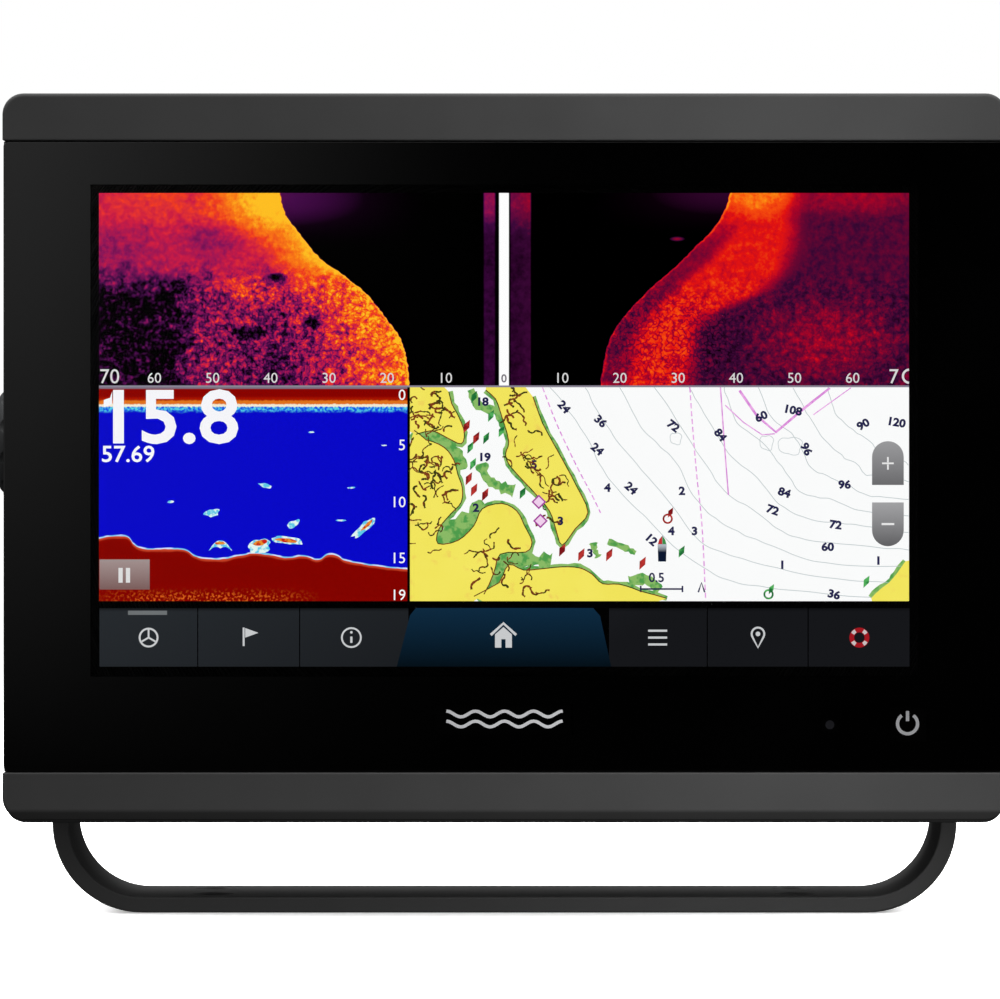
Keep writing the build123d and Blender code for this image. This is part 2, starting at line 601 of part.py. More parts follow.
# ---------------------------------------------------------------- chassis
CHASSIS_W = 146.0
CHASSIS_WINDOW_W = 80.0
CHASSIS_BOTTOM = 37.0
CHASSIS_TOP = 141.5
CHASSIS_CORNER_R = 3.0
CHASSIS_MID_Z = (CHASSIS_BOTTOM + CHASSIS_TOP) / 2
STANDOFFS = ((-50.0, 50.5), (50.0, 50.5), (-64.0, 90.0), (64.0, 90.0), (-64.0, 128.0), (64.0, 128.0))
STANDOFF_R = 2.8
PLATEAU_SIZE = 20.0
PAD_SIZE = 16.0
PAD_T = 1.0
CPU_SIZE = 17.0
CPU_T = 1.3
CPU_Z = 95.0
PAD_FRONT = MAIN_BOARD_FRONT - CPU_T - PAD_T
GPS_TAB_W = 32.0
GPS_TAB_BACK = 8.0
GPS_TAB_BOTTOM = 134.5
with BuildPart() as display_chassis:
    with BuildSketch(facing(CHASSIS_BACK)):
        with Locations((0, CHASSIS_MID_Z)):
            RectangleRounded(CHASSIS_W, CHASSIS_TOP - CHASSIS_BOTTOM, CHASSIS_CORNER_R)
        with Locations((0, PASSAGE_Z)):
            Rectangle(CHASSIS_WINDOW_W, PASSAGE_H + LOOSE, mode=Mode.SUBTRACT)
        with Locations((KEY_FLEX_X, KEY_FLEX_Z)):
            Rectangle(KEY_FLEX_W + FLEX_GAP, KEY_PASSAGE_H + FLEX_GAP, mode=Mode.SUBTRACT)
    extrude(amount=CHASSIS_T)
    with BuildSketch(facing(CHASSIS_BACK)):
        with Locations(*STANDOFFS):
            Circle(STANDOFF_R)
    extrude(amount=CHASSIS_BACK - MAIN_BOARD_FRONT)
    with BuildSketch(facing(CHASSIS_BACK)):
        with Locations((0, CPU_Z)):
            Rectangle(PLATEAU_SIZE, PLATEAU_SIZE)
    extrude(amount=CHASSIS_BACK - PAD_FRONT)
    # A bent shelf above the boards carries the positioning antenna
    with BuildSketch(Plane.XY.offset(GPS_TAB_BOTTOM)):
        with Locations((0, (FRAME_BACK + GPS_TAB_BACK) / 2)):
            Rectangle(GPS_TAB_W, GPS_TAB_BACK - FRAME_BACK)
    extrude(amount=CHASSIS_T)
    with BuildSketch(facing(MAIN_BOARD_FRONT)):
        with Locations(*STANDOFFS):
            Circle(SMALL_SCREW_R)
    extrude(amount=SMALL_SCREW_L - BOARD_T, mode=Mode.SUBTRACT)
    with BuildSketch(facing(CHASSIS_BACK)):
        with Locations(*CHASSIS_SCREWS):
            Circle(SMALL_SCREW_R + LOOSE)
    extrude(amount=CHASSIS_T, mode=Mode.SUBTRACT)
save(display_chassis.part, "display_chassis")


def pan_screws(head_y, points, shank_r, length, head_r, head_t):
    """Cross-slotted pan-head screws driven from the back; head_y is where their heads bear."""
    head_round = 0.4 * head_t
    slot_l = head_r
    slot_w = 0.26 * head_r
    slot_depth = 0.6 * head_t
    with BuildPart() as screws:
        with BuildSketch(facing(head_y)):
            with Locations(*points):
                Circle(shank_r)
        extrude(amount=length)
        with BuildSketch(facing(head_y)):
            with Locations(*points):
                Circle(head_r)
        extrude(amount=-head_t)
        fillet(screws.faces().sort_by(Axis.Y).group_by(Axis.Y)[-1].edges(), head_round)
        with BuildSketch(facing(head_y + head_t)):
            with Locations(*points):
                Rectangle(slot_l, slot_w)
                Rectangle(slot_w, slot_l)
        extrude(amount=slot_depth, mode=Mode.SUBTRACT)
    return screws.part


# ---------------------------------------------------------------- main board
MAIN_BOARD_W = 140.0
MAIN_BOARD_BOTTOM = 46.5
MAIN_BOARD_TOP = 132.0
BOARD_CORNER_R = 2.0
SPACERS = ((-60.0, 58.0), (60.0, 58.0), (-60.0, 122.0), (60.0, 122.0))
SPACER_R = 2.6
with BuildPart() as main_board:
    with BuildSketch(facing(MAIN_BOARD_FRONT)):
        with Locations((0, (MAIN_BOARD_BOTTOM + MAIN_BOARD_TOP) / 2)):
            RectangleRounded(MAIN_BOARD_W, MAIN_BOARD_TOP - MAIN_BOARD_BOTTOM, BOARD_CORNER_R)
        with Locations(*STANDOFFS):
            Circle(SMALL_SCREW_R + LOOSE, mode=Mode.SUBTRACT)
    extrude(amount=-BOARD_T)
save(main_board.part, "main_board")


def blocks(y, thickness, sizes):
    """Separate blocks standing on one board face. Each size is x, z, width, height."""
    with BuildPart() as group:
        with BuildSketch(facing(y)):
            for x, z, width, height in sizes:
                with Locations((x, z)):
                    Rectangle(width, height)
        extrude(amount=thickness)
    return group.part


save(blocks(MAIN_BOARD_FRONT, CPU_T, ((0, CPU_Z, CPU_SIZE, CPU_SIZE),)), "processor")
save(blocks(PAD_FRONT + PAD_T, PAD_T, ((0, CPU_Z, PAD_SIZE, PAD_SIZE),)), "thermal_pad")
ANTENNA_SOCKET_X = 24.0
ANTENNA_SOCKET_Z = 127.0
ANTENNA_SOCKET_SIZE = 3.0
ANTENNA_SOCKET_T = 2.2
MEMORY_T = 1.2
SHIELD_T = 2.6
memory_sizes = ((-44.0, 72.0, 12.0, 9.0), (-28.0, 72.0, 12.0, 9.0), (24.0, 72.0, 11.0, 14.0))
save(blocks(MAIN_BOARD_BACK, -MEMORY_T, memory_sizes), "memory_chips")
shield_sizes = ((-26.0, 103.0, 38.0, 30.0), (28.0, 103.0, 26.0, 34.0))
save(blocks(MAIN_BOARD_BACK, -SHIELD_T, shield_sizes), "shield_cans")

# ---------------------------------------------------------------- positioning antenna
GPS_SHELF_TOP = GPS_TAB_BOTTOM + CHASSIS_T
GPS_Y = -6.0
GPS_BOARD_SIZE = 28.0
GPS_BOARD_T = 1.0
GPS_PATCH_SIZE = 25.0
GPS_PATCH_T = 4.0
GPS_PATCH_CHAMFER = 1.0
with BuildPart() as antenna_board:
    with BuildSketch(Plane.XY.offset(GPS_SHELF_TOP)):
        with Locations((0, GPS_Y)):
            Rectangle(GPS_BOARD_SIZE, GPS_BOARD_SIZE)
    extrude(amount=GPS_BOARD_T)
save(antenna_board.part, "antenna_board")

with BuildPart() as antenna_patch:
    with BuildSketch(Plane.XY.offset(GPS_SHELF_TOP + GPS_BOARD_T)):
        with Locations((0, GPS_Y)):
            Rectangle(GPS_PATCH_SIZE, GPS_PATCH_SIZE)
    extrude(amount=GPS_PATCH_T)
    chamfer(antenna_patch.edges().filter_by(Axis.Z), GPS_PATCH_CHAMFER)
save(antenna_patch.part, "antenna_patch")

CABLE_R = 0.45
CABLE_BEND_R = 2.5
with BuildPart() as antenna_cable:
    cable_x = GPS_BOARD_SIZE / 2
    cable_y = -14.0
    cable_z = GPS_SHELF_TOP + GPS_BOARD_T / 2
    with BuildLine() as route:
        FilletPolyline(
            (cable_x, cable_y, cable_z),
            (ANTENNA_SOCKET_X, cable_y, cable_z),
            (ANTENNA_SOCKET_X, cable_y, ANTENNA_SOCKET_Z),
            (ANTENNA_SOCKET_X, MAIN_BOARD_BACK + ANTENNA_SOCKET_T, ANTENNA_SOCKET_Z),
            radius=CABLE_BEND_R,
        )
    with BuildSketch(Plane(origin=(cable_x, cable_y, cable_z), z_dir=(1, 0, 0))):
        Circle(CABLE_R)
    sweep()
save(antenna_cable.part, "antenna_cable")

# ---------------------------------------------------------------- power and sonar board
SONAR_BOARD_W = 128.0
SONAR_BOARD_BOTTOM = 48.0
SONAR_BOARD_TOP = 126.0
with BuildPart() as sonar_board:
    with BuildSketch(facing(SONAR_BOARD_FRONT)):
        with Locations((0, (SONAR_BOARD_BOTTOM + SONAR_BOARD_TOP) / 2)):
            RectangleRounded(SONAR_BOARD_W, SONAR_BOARD_TOP - SONAR_BOARD_BOTTOM, BOARD_CORNER_R)
        with Locations(*SPACERS):
            Circle(SMALL_SCREW_R + LOOSE, mode=Mode.SUBTRACT)
    extrude(amount=-BOARD_T)
save(sonar_board.part, "sonar_board")

with BuildPart() as board_spacers:
    with BuildSketch(facing(MAIN_BOARD_BACK)):
        with Locations(*SPACERS):
            RegularPolygon(SPACER_R, 6)
            Circle(SMALL_SCREW_R, mode=Mode.SUBTRACT)
    extrude(amount=MAIN_BOARD_BACK - SONAR_BOARD_FRONT)
save(board_spacers.part, "board_spacers")

small_screw_rows = [
    pan_screws(head_y, points, SMALL_SCREW_R, SMALL_SCREW_L, SMALL_HEAD_R, SMALL_HEAD_T)
    for head_y, points in (
        (CHASSIS_BACK, CHASSIS_SCREWS),
        (MAIN_BOARD_BACK, STANDOFFS),
        (SONAR_BOARD_BACK, SPACERS),
    )
]
with BuildPart() as board_screws:
    add(small_screw_rows)
save(board_screws.part, "board_screws")

header_depth = MAIN_BOARD_BACK - SONAR_BOARD_FRONT
header_sizes = ((0, 54.0, 42.0, 6.0),)
save(blocks(MAIN_BOARD_BACK, header_depth, header_sizes), "board_header")

TRANSFORMER_SIZE = 18.0
TRANSFORMER_H = 14.0
TRANSFORMER_Z = 104.0
transformer_sizes = [(x, TRANSFORMER_Z, TRANSFORMER_SIZE, TRANSFORMER_SIZE) for x in (-46.0, -22.0)]
save(blocks(SONAR_BOARD_BACK, -TRANSFORMER_H, transformer_sizes), "sonar_transformers")


def cans(points, radius, height, edge_r):
    """Upright round parts on the back of the sonar board."""
    with BuildPart() as group:
        with BuildSketch(facing(SONAR_BOARD_BACK)):
            with Locations(*points):
                Circle(radius)
        extrude(amount=-height)
        fillet(group.faces().group_by(Axis.Y)[-1].edges(), edge_r)
    return group.part


CAPACITOR_R = 5.0
CAPACITOR_H = 16.0
BUZZER_R = 6.0
BUZZER_H = 7.0
capacitor_points = [(x, 110.0) for x in (6.0, 20.0, 34.0)]
save(cans(capacitor_points, CAPACITOR_R, CAPACITOR_H, edge_r=0.8), "power_capacitors")
save(cans([(30.0, 84.0)], BUZZER_R, BUZZER_H, edge_r=0.6), "buzzer")

# ---------------------------------------------------------------- rear sockets
Socket = namedtuple("Socket", "name x thread_r pin_count pin_circle_r")
SOCKETS = (
    Socket("network", -50.0, 6.0, 5, 2.9),
    Socket("transducer", -18.0, 9.5, 9, 5.6),
    Socket("power", 17.0, 8.0, 7, 4.4),
)
SOCKET_Z = 60.0
SOCKET_WALL = 1.1
SOCKET_SEAL_T = 0.8
SOCKET_FLANGE_W = 3.0
SOCKET_FLANGE_T = 2.4
SOCKET_KEY_W = 1.4
SOCKET_KEY_H = 0.8
SOCKET_THREAD_L = 8.0
SOCKET_FRONT = 8.0  # the end inside the housing
SOCKET_FLANGE_FRONT = HOUSING_BACK + SOCKET_SEAL_T
SOCKET_FLANGE_BACK = SOCKET_FLANGE_FRONT + SOCKET_FLANGE_T
SOCKET_BACK = SOCKET_FLANGE_BACK + SOCKET_THREAD_L
SOCKET_SEAL_W = 2.4
SOCKET_NUT_W = 2.4
SOCKET_NUT_T = 3.0
SOCKET_HOLE_GAP = 0.15
INSERT_BACK = SOCKET_FLANGE_BACK + 1.0  # the insert's face, well inside the shell
INSERT_GAP = 0.6
INSERT_FOOT_T = 1.0
PIN_R = 0.5
PIN_RECESS = 2.0  # the pins stop short of the shell's rim
PIN_TAIL = 2.0


def socket_shell(x, thread_r):
    """A flanged panel socket: threaded outside, keyed bore inside."""
    with BuildPart() as shell:
        with BuildSketch(facing(SOCKET_BACK)):
            with Locations((x, SOCKET_Z)):
                Circle(thread_r)
        extrude(amount=SOCKET_BACK - SOCKET_FRONT)
        chamfer(shell.faces().sort_by(Axis.Y)[-1].edges(), SOCKET_WALL / 2)
        with BuildSketch(facing(SOCKET_FLANGE_BACK)):
            with Locations((x, SOCKET_Z)):
                Circle(thread_r + SOCKET_FLANGE_W)
        extrude(amount=SOCKET_FLANGE_T)
        with BuildSketch(facing(SOCKET_BACK)):
            with Locations((x, SOCKET_Z)):
                Circle(thread_r - SOCKET_WALL)
            with Locations((x, SOCKET_Z + thread_r - SOCKET_WALL)):
                Rectangle(SOCKET_KEY_W, SOCKET_KEY_H, mode=Mode.SUBTRACT)
        extrude(amount=SOCKET_BACK - SOCKET_FRONT, mode=Mode.SUBTRACT)
    return shell.part


def pin_pattern(pin_count, pin_circle_r, mode):
    """One pin in the middle and the rest on a circle around it."""
    with PolarLocations(pin_circle_r, pin_count - 1):
        Circle(PIN_R, mode=mode)
    Circle(PIN_R, mode=mode)


for socket in SOCKETS:
    save(socket_shell(socket.x, socket.thread_r), f"{socket.name}_socket")

with BuildPart() as socket_inserts:
    for socket in SOCKETS:
        with BuildSketch(facing(INSERT_BACK)):
            with Locations((socket.x, SOCKET_Z)):
                Circle(socket.thread_r - SOCKET_WALL - INSERT_GAP)
                pin_pattern(socket.pin_count, socket.pin_circle_r, Mode.SUBTRACT)
        extrude(amount=INSERT_BACK - SOCKET_FRONT)
        # The insert's foot bears on the shell's inner end
        with BuildSketch(facing(SOCKET_FRONT)):
            with Locations((socket.x, SOCKET_Z)):
                Circle(socket.thread_r)
                pin_pattern(socket.pin_count, socket.pin_circle_r, Mode.SUBTRACT)
        extrude(amount=INSERT_FOOT_T)
save(socket_inserts.part, "socket_inserts")

with BuildPart() as socket_pins:
    for socket in SOCKETS:
        with BuildSketch(facing(SOCKET_BACK - PIN_RECESS)):
            with Locations((socket.x, SOCKET_Z)):
                pin_pattern(socket.pin_count, socket.pin_circle_r, Mode.ADD)
        extrude(amount=SOCKET_BACK - PIN_RECESS - SOCKET_FRONT + PIN_TAIL)
save(socket_pins.part, "socket_pins")

with BuildPart() as socket_seals:
    for socket in SOCKETS:
        with BuildSketch(facing(SOCKET_FLANGE_FRONT)):
            with Locations((socket.x, SOCKET_Z)):
                Circle(socket.thread_r + SOCKET_SEAL_W)
                Circle(socket.thread_r + 2 * SOCKET_HOLE_GAP, mode=Mode.SUBTRACT)
        extrude(amount=SOCKET_SEAL_T)
save(socket_seals.part, "socket_seals")

with BuildPart() as socket_nuts:
    for socket in SOCKETS:
        with BuildSketch(facing(HOUSING_INNER)):
            with Locations((socket.x, SOCKET_Z)):
                RegularPolygon(socket.thread_r + SOCKET_NUT_W, 6, major_radius=False)
                Circle(socket.thread_r, mode=Mode.SUBTRACT)
        extrude(amount=SOCKET_NUT_T)
save(socket_nuts.part, "socket_nuts")

WIRE_HEADER_Z = 76.0
WIRE_HEADER_T = 6.0
WIRE_BUNDLE_R = 2.0
WIRE_HEADER_W = 14.0
WIRE_HEADER_H = 6.0
WIRE_PIN_GAP = 0.2
WIRE_START_Y = SOCKET_FRONT - INSERT_FOOT_T - PIN_TAIL - WIRE_PIN_GAP

with BuildPart() as socket_wires:
    for socket in SOCKETS:
        start = (socket.x, WIRE_START_Y, SOCKET_Z)
        end = (socket.x, SONAR_BOARD_BACK + WIRE_HEADER_T / 2, WIRE_HEADER_Z - WIRE_HEADER_H / 2)
        with BuildLine() as bundle:
            Spline(start, end, tangents=((0, -1, 0), (0, 0, 1)))
        with BuildSketch(Plane(origin=start, z_dir=(0, -1, 0))):
            Circle(WIRE_BUNDLE_R)
        sweep(path=bundle.line)
save(socket_wires.part, "socket_wires")

# Every small connector that stands on a board
flex_socket_z = FLEX_SOCKET_BOTTOM + FLEX_SOCKET_H / 2
flex_socket_sizes = (
    (LCD_FLEX_X, flex_socket_z, LCD_FLEX_W, FLEX_SOCKET_H),
    (TOUCH_FLEX_X, flex_socket_z, TOUCH_FLEX_W, FLEX_SOCKET_H),
    (KEY_FLEX_X, flex_socket_z, KEY_FLEX_W + 2 * FLEX_GAP, FLEX_SOCKET_H),
)
antenna_socket_sizes = ((ANTENNA_SOCKET_X, ANTENNA_SOCKET_Z, ANTENNA_SOCKET_SIZE, ANTENNA_SOCKET_SIZE),)
wire_header_sizes = [(socket.x, WIRE_HEADER_Z, WIRE_HEADER_W, WIRE_HEADER_H) for socket in SOCKETS]
connector_groups = [
    blocks(MAIN_BOARD_FRONT, FLEX_SOCKET_DEPTH, flex_socket_sizes),
    blocks(MAIN_BOARD_BACK, -ANTENNA_SOCKET_T, antenna_socket_sizes),
    blocks(SONAR_BOARD_BACK, -WIRE_HEADER_T, wire_header_sizes),
]
with BuildPart() as board_connectors:
    add(connector_groups)
save(board_connectors.part, "board_connectors")

# ---------------------------------------------------------------- card bay
DOOR_GAP = 0.2
DOOR_CORNER_R = 1.5
BAY_W = 26.0
BAY_H = 20.0
BAY_WALL = 2.0
BAY_BLOCK_FRONT = BAY_FLOOR - BAY_WALL
READER_W = 16.0
READER_H = 17.0
READER_SLOT_GAP = 0.2
READER_SLOT_DEPTH = 13.2
CARD_PROUD = 1.0
CARD_OUTER_Y = BAY_FLOOR + CARD_PROUD
CARD_ZS = (CARD_Z - CARD_PITCH / 2, CARD_Z + CARD_PITCH / 2)

with BuildPart() as card_reader:
    reader_depth = BAY_BLOCK_FRONT - SONAR_BOARD_BACK
    with BuildSketch(facing(BAY_BLOCK_FRONT)):
        with Locations((CARD_X, CARD_Z)):
            Rectangle(READER_W, READER_H)
    extrude(amount=reader_depth)
    with BuildSketch(facing(BAY_BLOCK_FRONT)):
        for z in CARD_ZS:
            with Locations((CARD_X, z)):
                Rectangle(CARD_W + READER_SLOT_GAP, CARD_T + READER_SLOT_GAP)
    extrude(amount=READER_SLOT_DEPTH, mode=Mode.SUBTRACT)
save(card_reader.part, "card_reader")

for card_name, z in zip(("memory_card_lower", "memory_card_upper"), CARD_ZS):
    with BuildPart() as memory_card:
        with BuildSketch(Plane.XY.offset(z - CARD_T / 2)):
            with Locations((CARD_X, CARD_OUTER_Y - CARD_L / 2)):
                RectangleRounded(CARD_W, CARD_L, 0.8)
        extrude(amount=CARD_T)
    save(memory_card.part, card_name)


def hinge_sketch_plane(z):
    """Level plane at the foot of a hinge knuckle, centred on the hinge pin."""
    return Plane(origin=(HINGE_X, HINGE_Y, z))


LIP_W = 2.4
LIP_H = 14.0
LIP_PROUD = 1.4
LIP_INSET = 2.0
STRAP_L = 5.0  # from the hinge pin's axis
STRAP_FOOT_L = 3.0
STRAP_FOOT_H = 1.9
with BuildPart() as card_door:
    with BuildSketch(facing(HOUSING_BACK)):
        with Locations((CARD_X, CARD_Z)):
            RectangleRounded(DOOR_W, DOOR_H, DOOR_CORNER_R)
    extrude(amount=DOOR_T)
    # Knuckle and the strap that joins it to the door
    with BuildSketch(hinge_sketch_plane(CARD_Z - DOOR_KNUCKLE_H / 2)):
        Circle(HINGE_R)
        with Locations((STRAP_L / 2, -HINGE_R / 2)):
            Rectangle(STRAP_L, HINGE_R)
        with Locations((STRAP_L - STRAP_FOOT_L / 2, -HINGE_PROUD)):
            Rectangle(STRAP_FOOT_L, STRAP_FOOT_H)
        Circle(HINGE_PIN_R + HINGE_PIN_GAP, mode=Mode.SUBTRACT)
    extrude(amount=DOOR_KNUCKLE_H)
    # Finger lip at the free edge
    with BuildSketch(facing(HOUSING_BACK)):
        with Locations((CARD_X + DOOR_W / 2 - LIP_INSET, CARD_Z)):
            RectangleRounded(LIP_W, LIP_H, 1.0)
    extrude(amount=-LIP_PROUD)
save(card_door.part, "card_door")

DOOR_SEAL_INSET = 0.5
DOOR_SEAL_BAND = 1.6
seal_w = DOOR_W - 2 * DOOR_SEAL_INSET
seal_h = DOOR_H - 2 * DOOR_SEAL_INSET
with BuildPart() as card_door_seal:
    with BuildSketch(facing(DOOR_INNER)):
        with Locations((CARD_X, CARD_Z)):
            RectangleRounded(seal_w, seal_h, 1.2)
            RectangleRounded(
                seal_w - 2 * DOOR_SEAL_BAND, seal_h - 2 * DOOR_SEAL_BAND, 1.0, mode=Mode.SUBTRACT
            )
    extrude(amount=DOOR_SEAL_T)
save(card_door_seal.part, "card_door_seal")

with BuildPart() as card_door_pin:
    with BuildSketch(hinge_sketch_plane(CARD_Z - HINGE_H / 2)):
        Circle(HINGE_PIN_R)
    extrude(amount=HINGE_H)
save(card_door_pin.part, "card_door_pin")

# ---------------------------------------------------------------- rear housing
HOUSING_EDGE_R = 4.0
GROOVE_W = 2.0
GROOVE_GAP = 0.2
GROOVE_DEPTH = 1.5
GROOVE_LOOP_W = HOUSING_W - GROOVE_W / 2
GROOVE_LOOP_BOTTOM = 33.2
GROOVE_LOOP_TOP = 146.3
GROOVE_LOOP_H = GROOVE_LOOP_TOP - GROOVE_LOOP_BOTTOM
GROOVE_LOOP_Z = (GROOVE_LOOP_TOP + GROOVE_LOOP_BOTTOM) / 2
RIB_COUNT = 11
RIB_PITCH = 7.5
RIB_W = 1.8
RIB_RISE = 2.0
RIB_BOTTOM = 84.0
RIB_TOP = 136.0
RIB_MID_X = -27.0
VENT_X = 52.0
VENT_Z = 60.0
VENT_STEM_R = 3.0
VENT_CAP_R = 5.0
VENT_CAP_T = 1.4
VENT_CHAMFER = 0.4
SCREW_CLEARANCE = 0.2


def seal_loop_sketch(gap):
    """The closed band of the housing seal or its groove."""
    band = GROOVE_W + gap
    RectangleRounded(GROOVE_LOOP_W + band, GROOVE_LOOP_H + band, HOUSING_CORNER_R)
    RectangleRounded(
        GROOVE_LOOP_W - band, GROOVE_LOOP_H - band, HOUSING_CORNER_R - band, mode=Mode.SUBTRACT
    )


with BuildPart() as rear_housing:
    with BuildSketch(facing(FRAME_BACK)):
        with Locations((0, HOUSING_MID_Z)):
            RectangleRounded(HOUSING_W, HOUSING_H, HOUSING_CORNER_R)
    extrude(amount=-(HOUSING_BACK - FRAME_BACK), taper=HOUSING_DRAFT)
    fillet(rear_housing.faces().sort_by(Axis.Y)[-1].edges(), HOUSING_EDGE_R)
    with BuildSketch(facing(FRAME_BACK)):
        with Locations((0, (FLANGE_TOP + FLANGE_BOTTOM) / 2)):
            RectangleRounded(FLANGE_W, FLANGE_TOP - FLANGE_BOTTOM, HOUSING_CORNER_R)
    extrude(amount=-FLANGE_T)
    # Round pads outside for the friction washers
    with BuildSketch(Plane.YZ):
        with Locations((0, PIVOT_Z)):
            Circle(PIVOT_PAD_R)
    extrude(amount=BOSS_X, both=True)
    # Raised cooling ribs
    with BuildSketch(facing(HOUSING_BACK)):
        with Locations((RIB_MID_X, (RIB_TOP + RIB_BOTTOM) / 2)):
            with GridLocations(RIB_PITCH, 0, RIB_COUNT, 1):
                SlotOverall(RIB_TOP - RIB_BOTTOM, RIB_W, rotation=90)
    extrude(amount=-RIB_RISE)
    # The hollow inside
    with BuildSketch(facing(FRAME_BACK)):
        with Locations((0, HOUSING_MID_Z)):
            RectangleRounded(
                HOUSING_W - 2 * HOUSING_WALL, HOUSING_H - 2 * HOUSING_WALL, HOUSING_CORNER_R - HOUSING_WALL
            )
    extrude(amount=-(HOUSING_INNER - FRAME_BACK), taper=HOUSING_DRAFT, mode=Mode.SUBTRACT)
    # Solid bosses inside for the threaded inserts
    boss_end_x = INSERT_X - PIVOT_BOSS_END_T
    for side in (-1, 1):
        with BuildSketch(Plane(origin=(side * boss_end_x, 0, PIVOT_Z), z_dir=(side, 0, 0))):
            Circle(PIVOT_BOSS_R)
        extrude(amount=BOSS_X - boss_end_x)
    for side in (-1, 1):
        with BuildSketch(Plane(origin=(side * INSERT_X, 0, PIVOT_Z), z_dir=(side, 0, 0))):
            Circle(INSERT_R)
        extrude(amount=BOSS_X - INSERT_X, mode=Mode.SUBTRACT)
    # Card bay: a thick block, the door's recess, the bay and two slots in its floor
    with BuildSketch(facing(HOUSING_BACK)):
        with Locations((CARD_X, CARD_Z)):
            Rectangle(DOOR_W + 2 * BAY_WALL, DOOR_H + 2 * BAY_WALL)
    extrude(amount=HOUSING_BACK - BAY_BLOCK_FRONT)
    with BuildSketch(facing(HOUSING_BACK)):
        with Locations((CARD_X, CARD_Z)):
            RectangleRounded(DOOR_W + 2 * DOOR_GAP, DOOR_H + 2 * DOOR_GAP, DOOR_CORNER_R + LOOSE)
    extrude(amount=HOUSING_BACK - DOOR_REST, mode=Mode.SUBTRACT)
    with BuildSketch(facing(DOOR_REST)):
        with Locations((CARD_X, CARD_Z)):
            RectangleRounded(BAY_W, BAY_H, DOOR_CORNER_R)
    extrude(amount=DOOR_REST - BAY_FLOOR, mode=Mode.SUBTRACT)
    with BuildSketch(facing(BAY_FLOOR)):
        for z in CARD_ZS:
            with Locations((CARD_X, z)):
                Rectangle(CARD_W + CLEARANCE, CARD_T + CLEARANCE)
    extrude(amount=BAY_FLOOR - BAY_BLOCK_FRONT, mode=Mode.SUBTRACT)
    # Hinge ears above and below the door's knuckle
    ear_h = (HINGE_H - DOOR_KNUCKLE_H) / 2 - DOOR_GAP
    ear_foot_h = HINGE_R + 1.0
    for ear_z in (CARD_Z - HINGE_H / 2, CARD_Z + HINGE_H / 2 - ear_h):
        with BuildSketch(hinge_sketch_plane(ear_z)):
            Circle(HINGE_R)
            with Locations((0, -ear_foot_h / 2)):
                Rectangle(2 * HINGE_R, ear_foot_h)
            Circle(HINGE_PIN_R, mode=Mode.SUBTRACT)
        extrude(amount=ear_h)
    # Seal groove, screw holes, socket holes and the vent hole
    with BuildSketch(facing(FRAME_BACK)):
        with Locations((0, GROOVE_LOOP_Z)):
            seal_loop_sketch(GROOVE_GAP)
    extrude(amount=-GROOVE_DEPTH, mode=Mode.SUBTRACT)
    with BuildSketch(facing(FRAME_BACK)):
        for x in HOUSING_SCREW_XS:
            for z in HOUSING_SCREW_ZS:
                with Locations((x, z)):
                    Circle(HOUSING_SCREW_R + SCREW_CLEARANCE)
    extrude(amount=-FLANGE_T, mode=Mode.SUBTRACT)
    with BuildSketch(facing(HOUSING_BACK)):
        for socket in SOCKETS:
            with Locations((socket.x, SOCKET_Z)):
                Circle(socket.thread_r + SOCKET_HOLE_GAP)
        with Locations((VENT_X, VENT_Z)):
            Circle(VENT_STEM_R)
    extrude(amount=HOUSING_WALL, mode=Mode.SUBTRACT)
save(rear_housing.part, "rear_housing")

with BuildPart() as housing_seal:
    with BuildSketch(facing(FRAME_BACK)):
        with Locations((0, GROOVE_LOOP_Z)):
            seal_loop_sketch(0.0)
    extrude(amount=-GROOVE_DEPTH)
save(housing_seal.part, "housing_seal")

housing_screw_points = [(x, z) for x in HOUSING_SCREW_XS for z in HOUSING_SCREW_ZS]
housing_screws = pan_screws(
    FLANGE_BACK, housing_screw_points, HOUSING_SCREW_R, HOUSING_SCREW_L, HOUSING_HEAD_R, HOUSING_HEAD_T
)
save(housing_screws, "housing_screws")

with BuildPart() as vent_plug:
    with BuildSketch(facing(HOUSING_BACK)):
        with Locations((VENT_X, VENT_Z)):
            Circle(VENT_CAP_R)
    extrude(amount=-VENT_CAP_T)
    chamfer(vent_plug.faces().sort_by(Axis.Y)[-1].edges(), VENT_CHAMFER)
    with BuildSketch(facing(HOUSING_BACK)):
        with Locations((VENT_X, VENT_Z)):
            Circle(VENT_STEM_R)
    extrude(amount=HOUSING_WALL)
save(vent_plug.part, "vent_plug")
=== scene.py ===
"""The looks of the chartplotter display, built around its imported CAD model.

Every CAD node keeps its shape and gets a procedural material. The lit picture is made of thin
flat pieces that lie on the front of the LCD panel, behind the cover glass.
"""

import json
import math
import random

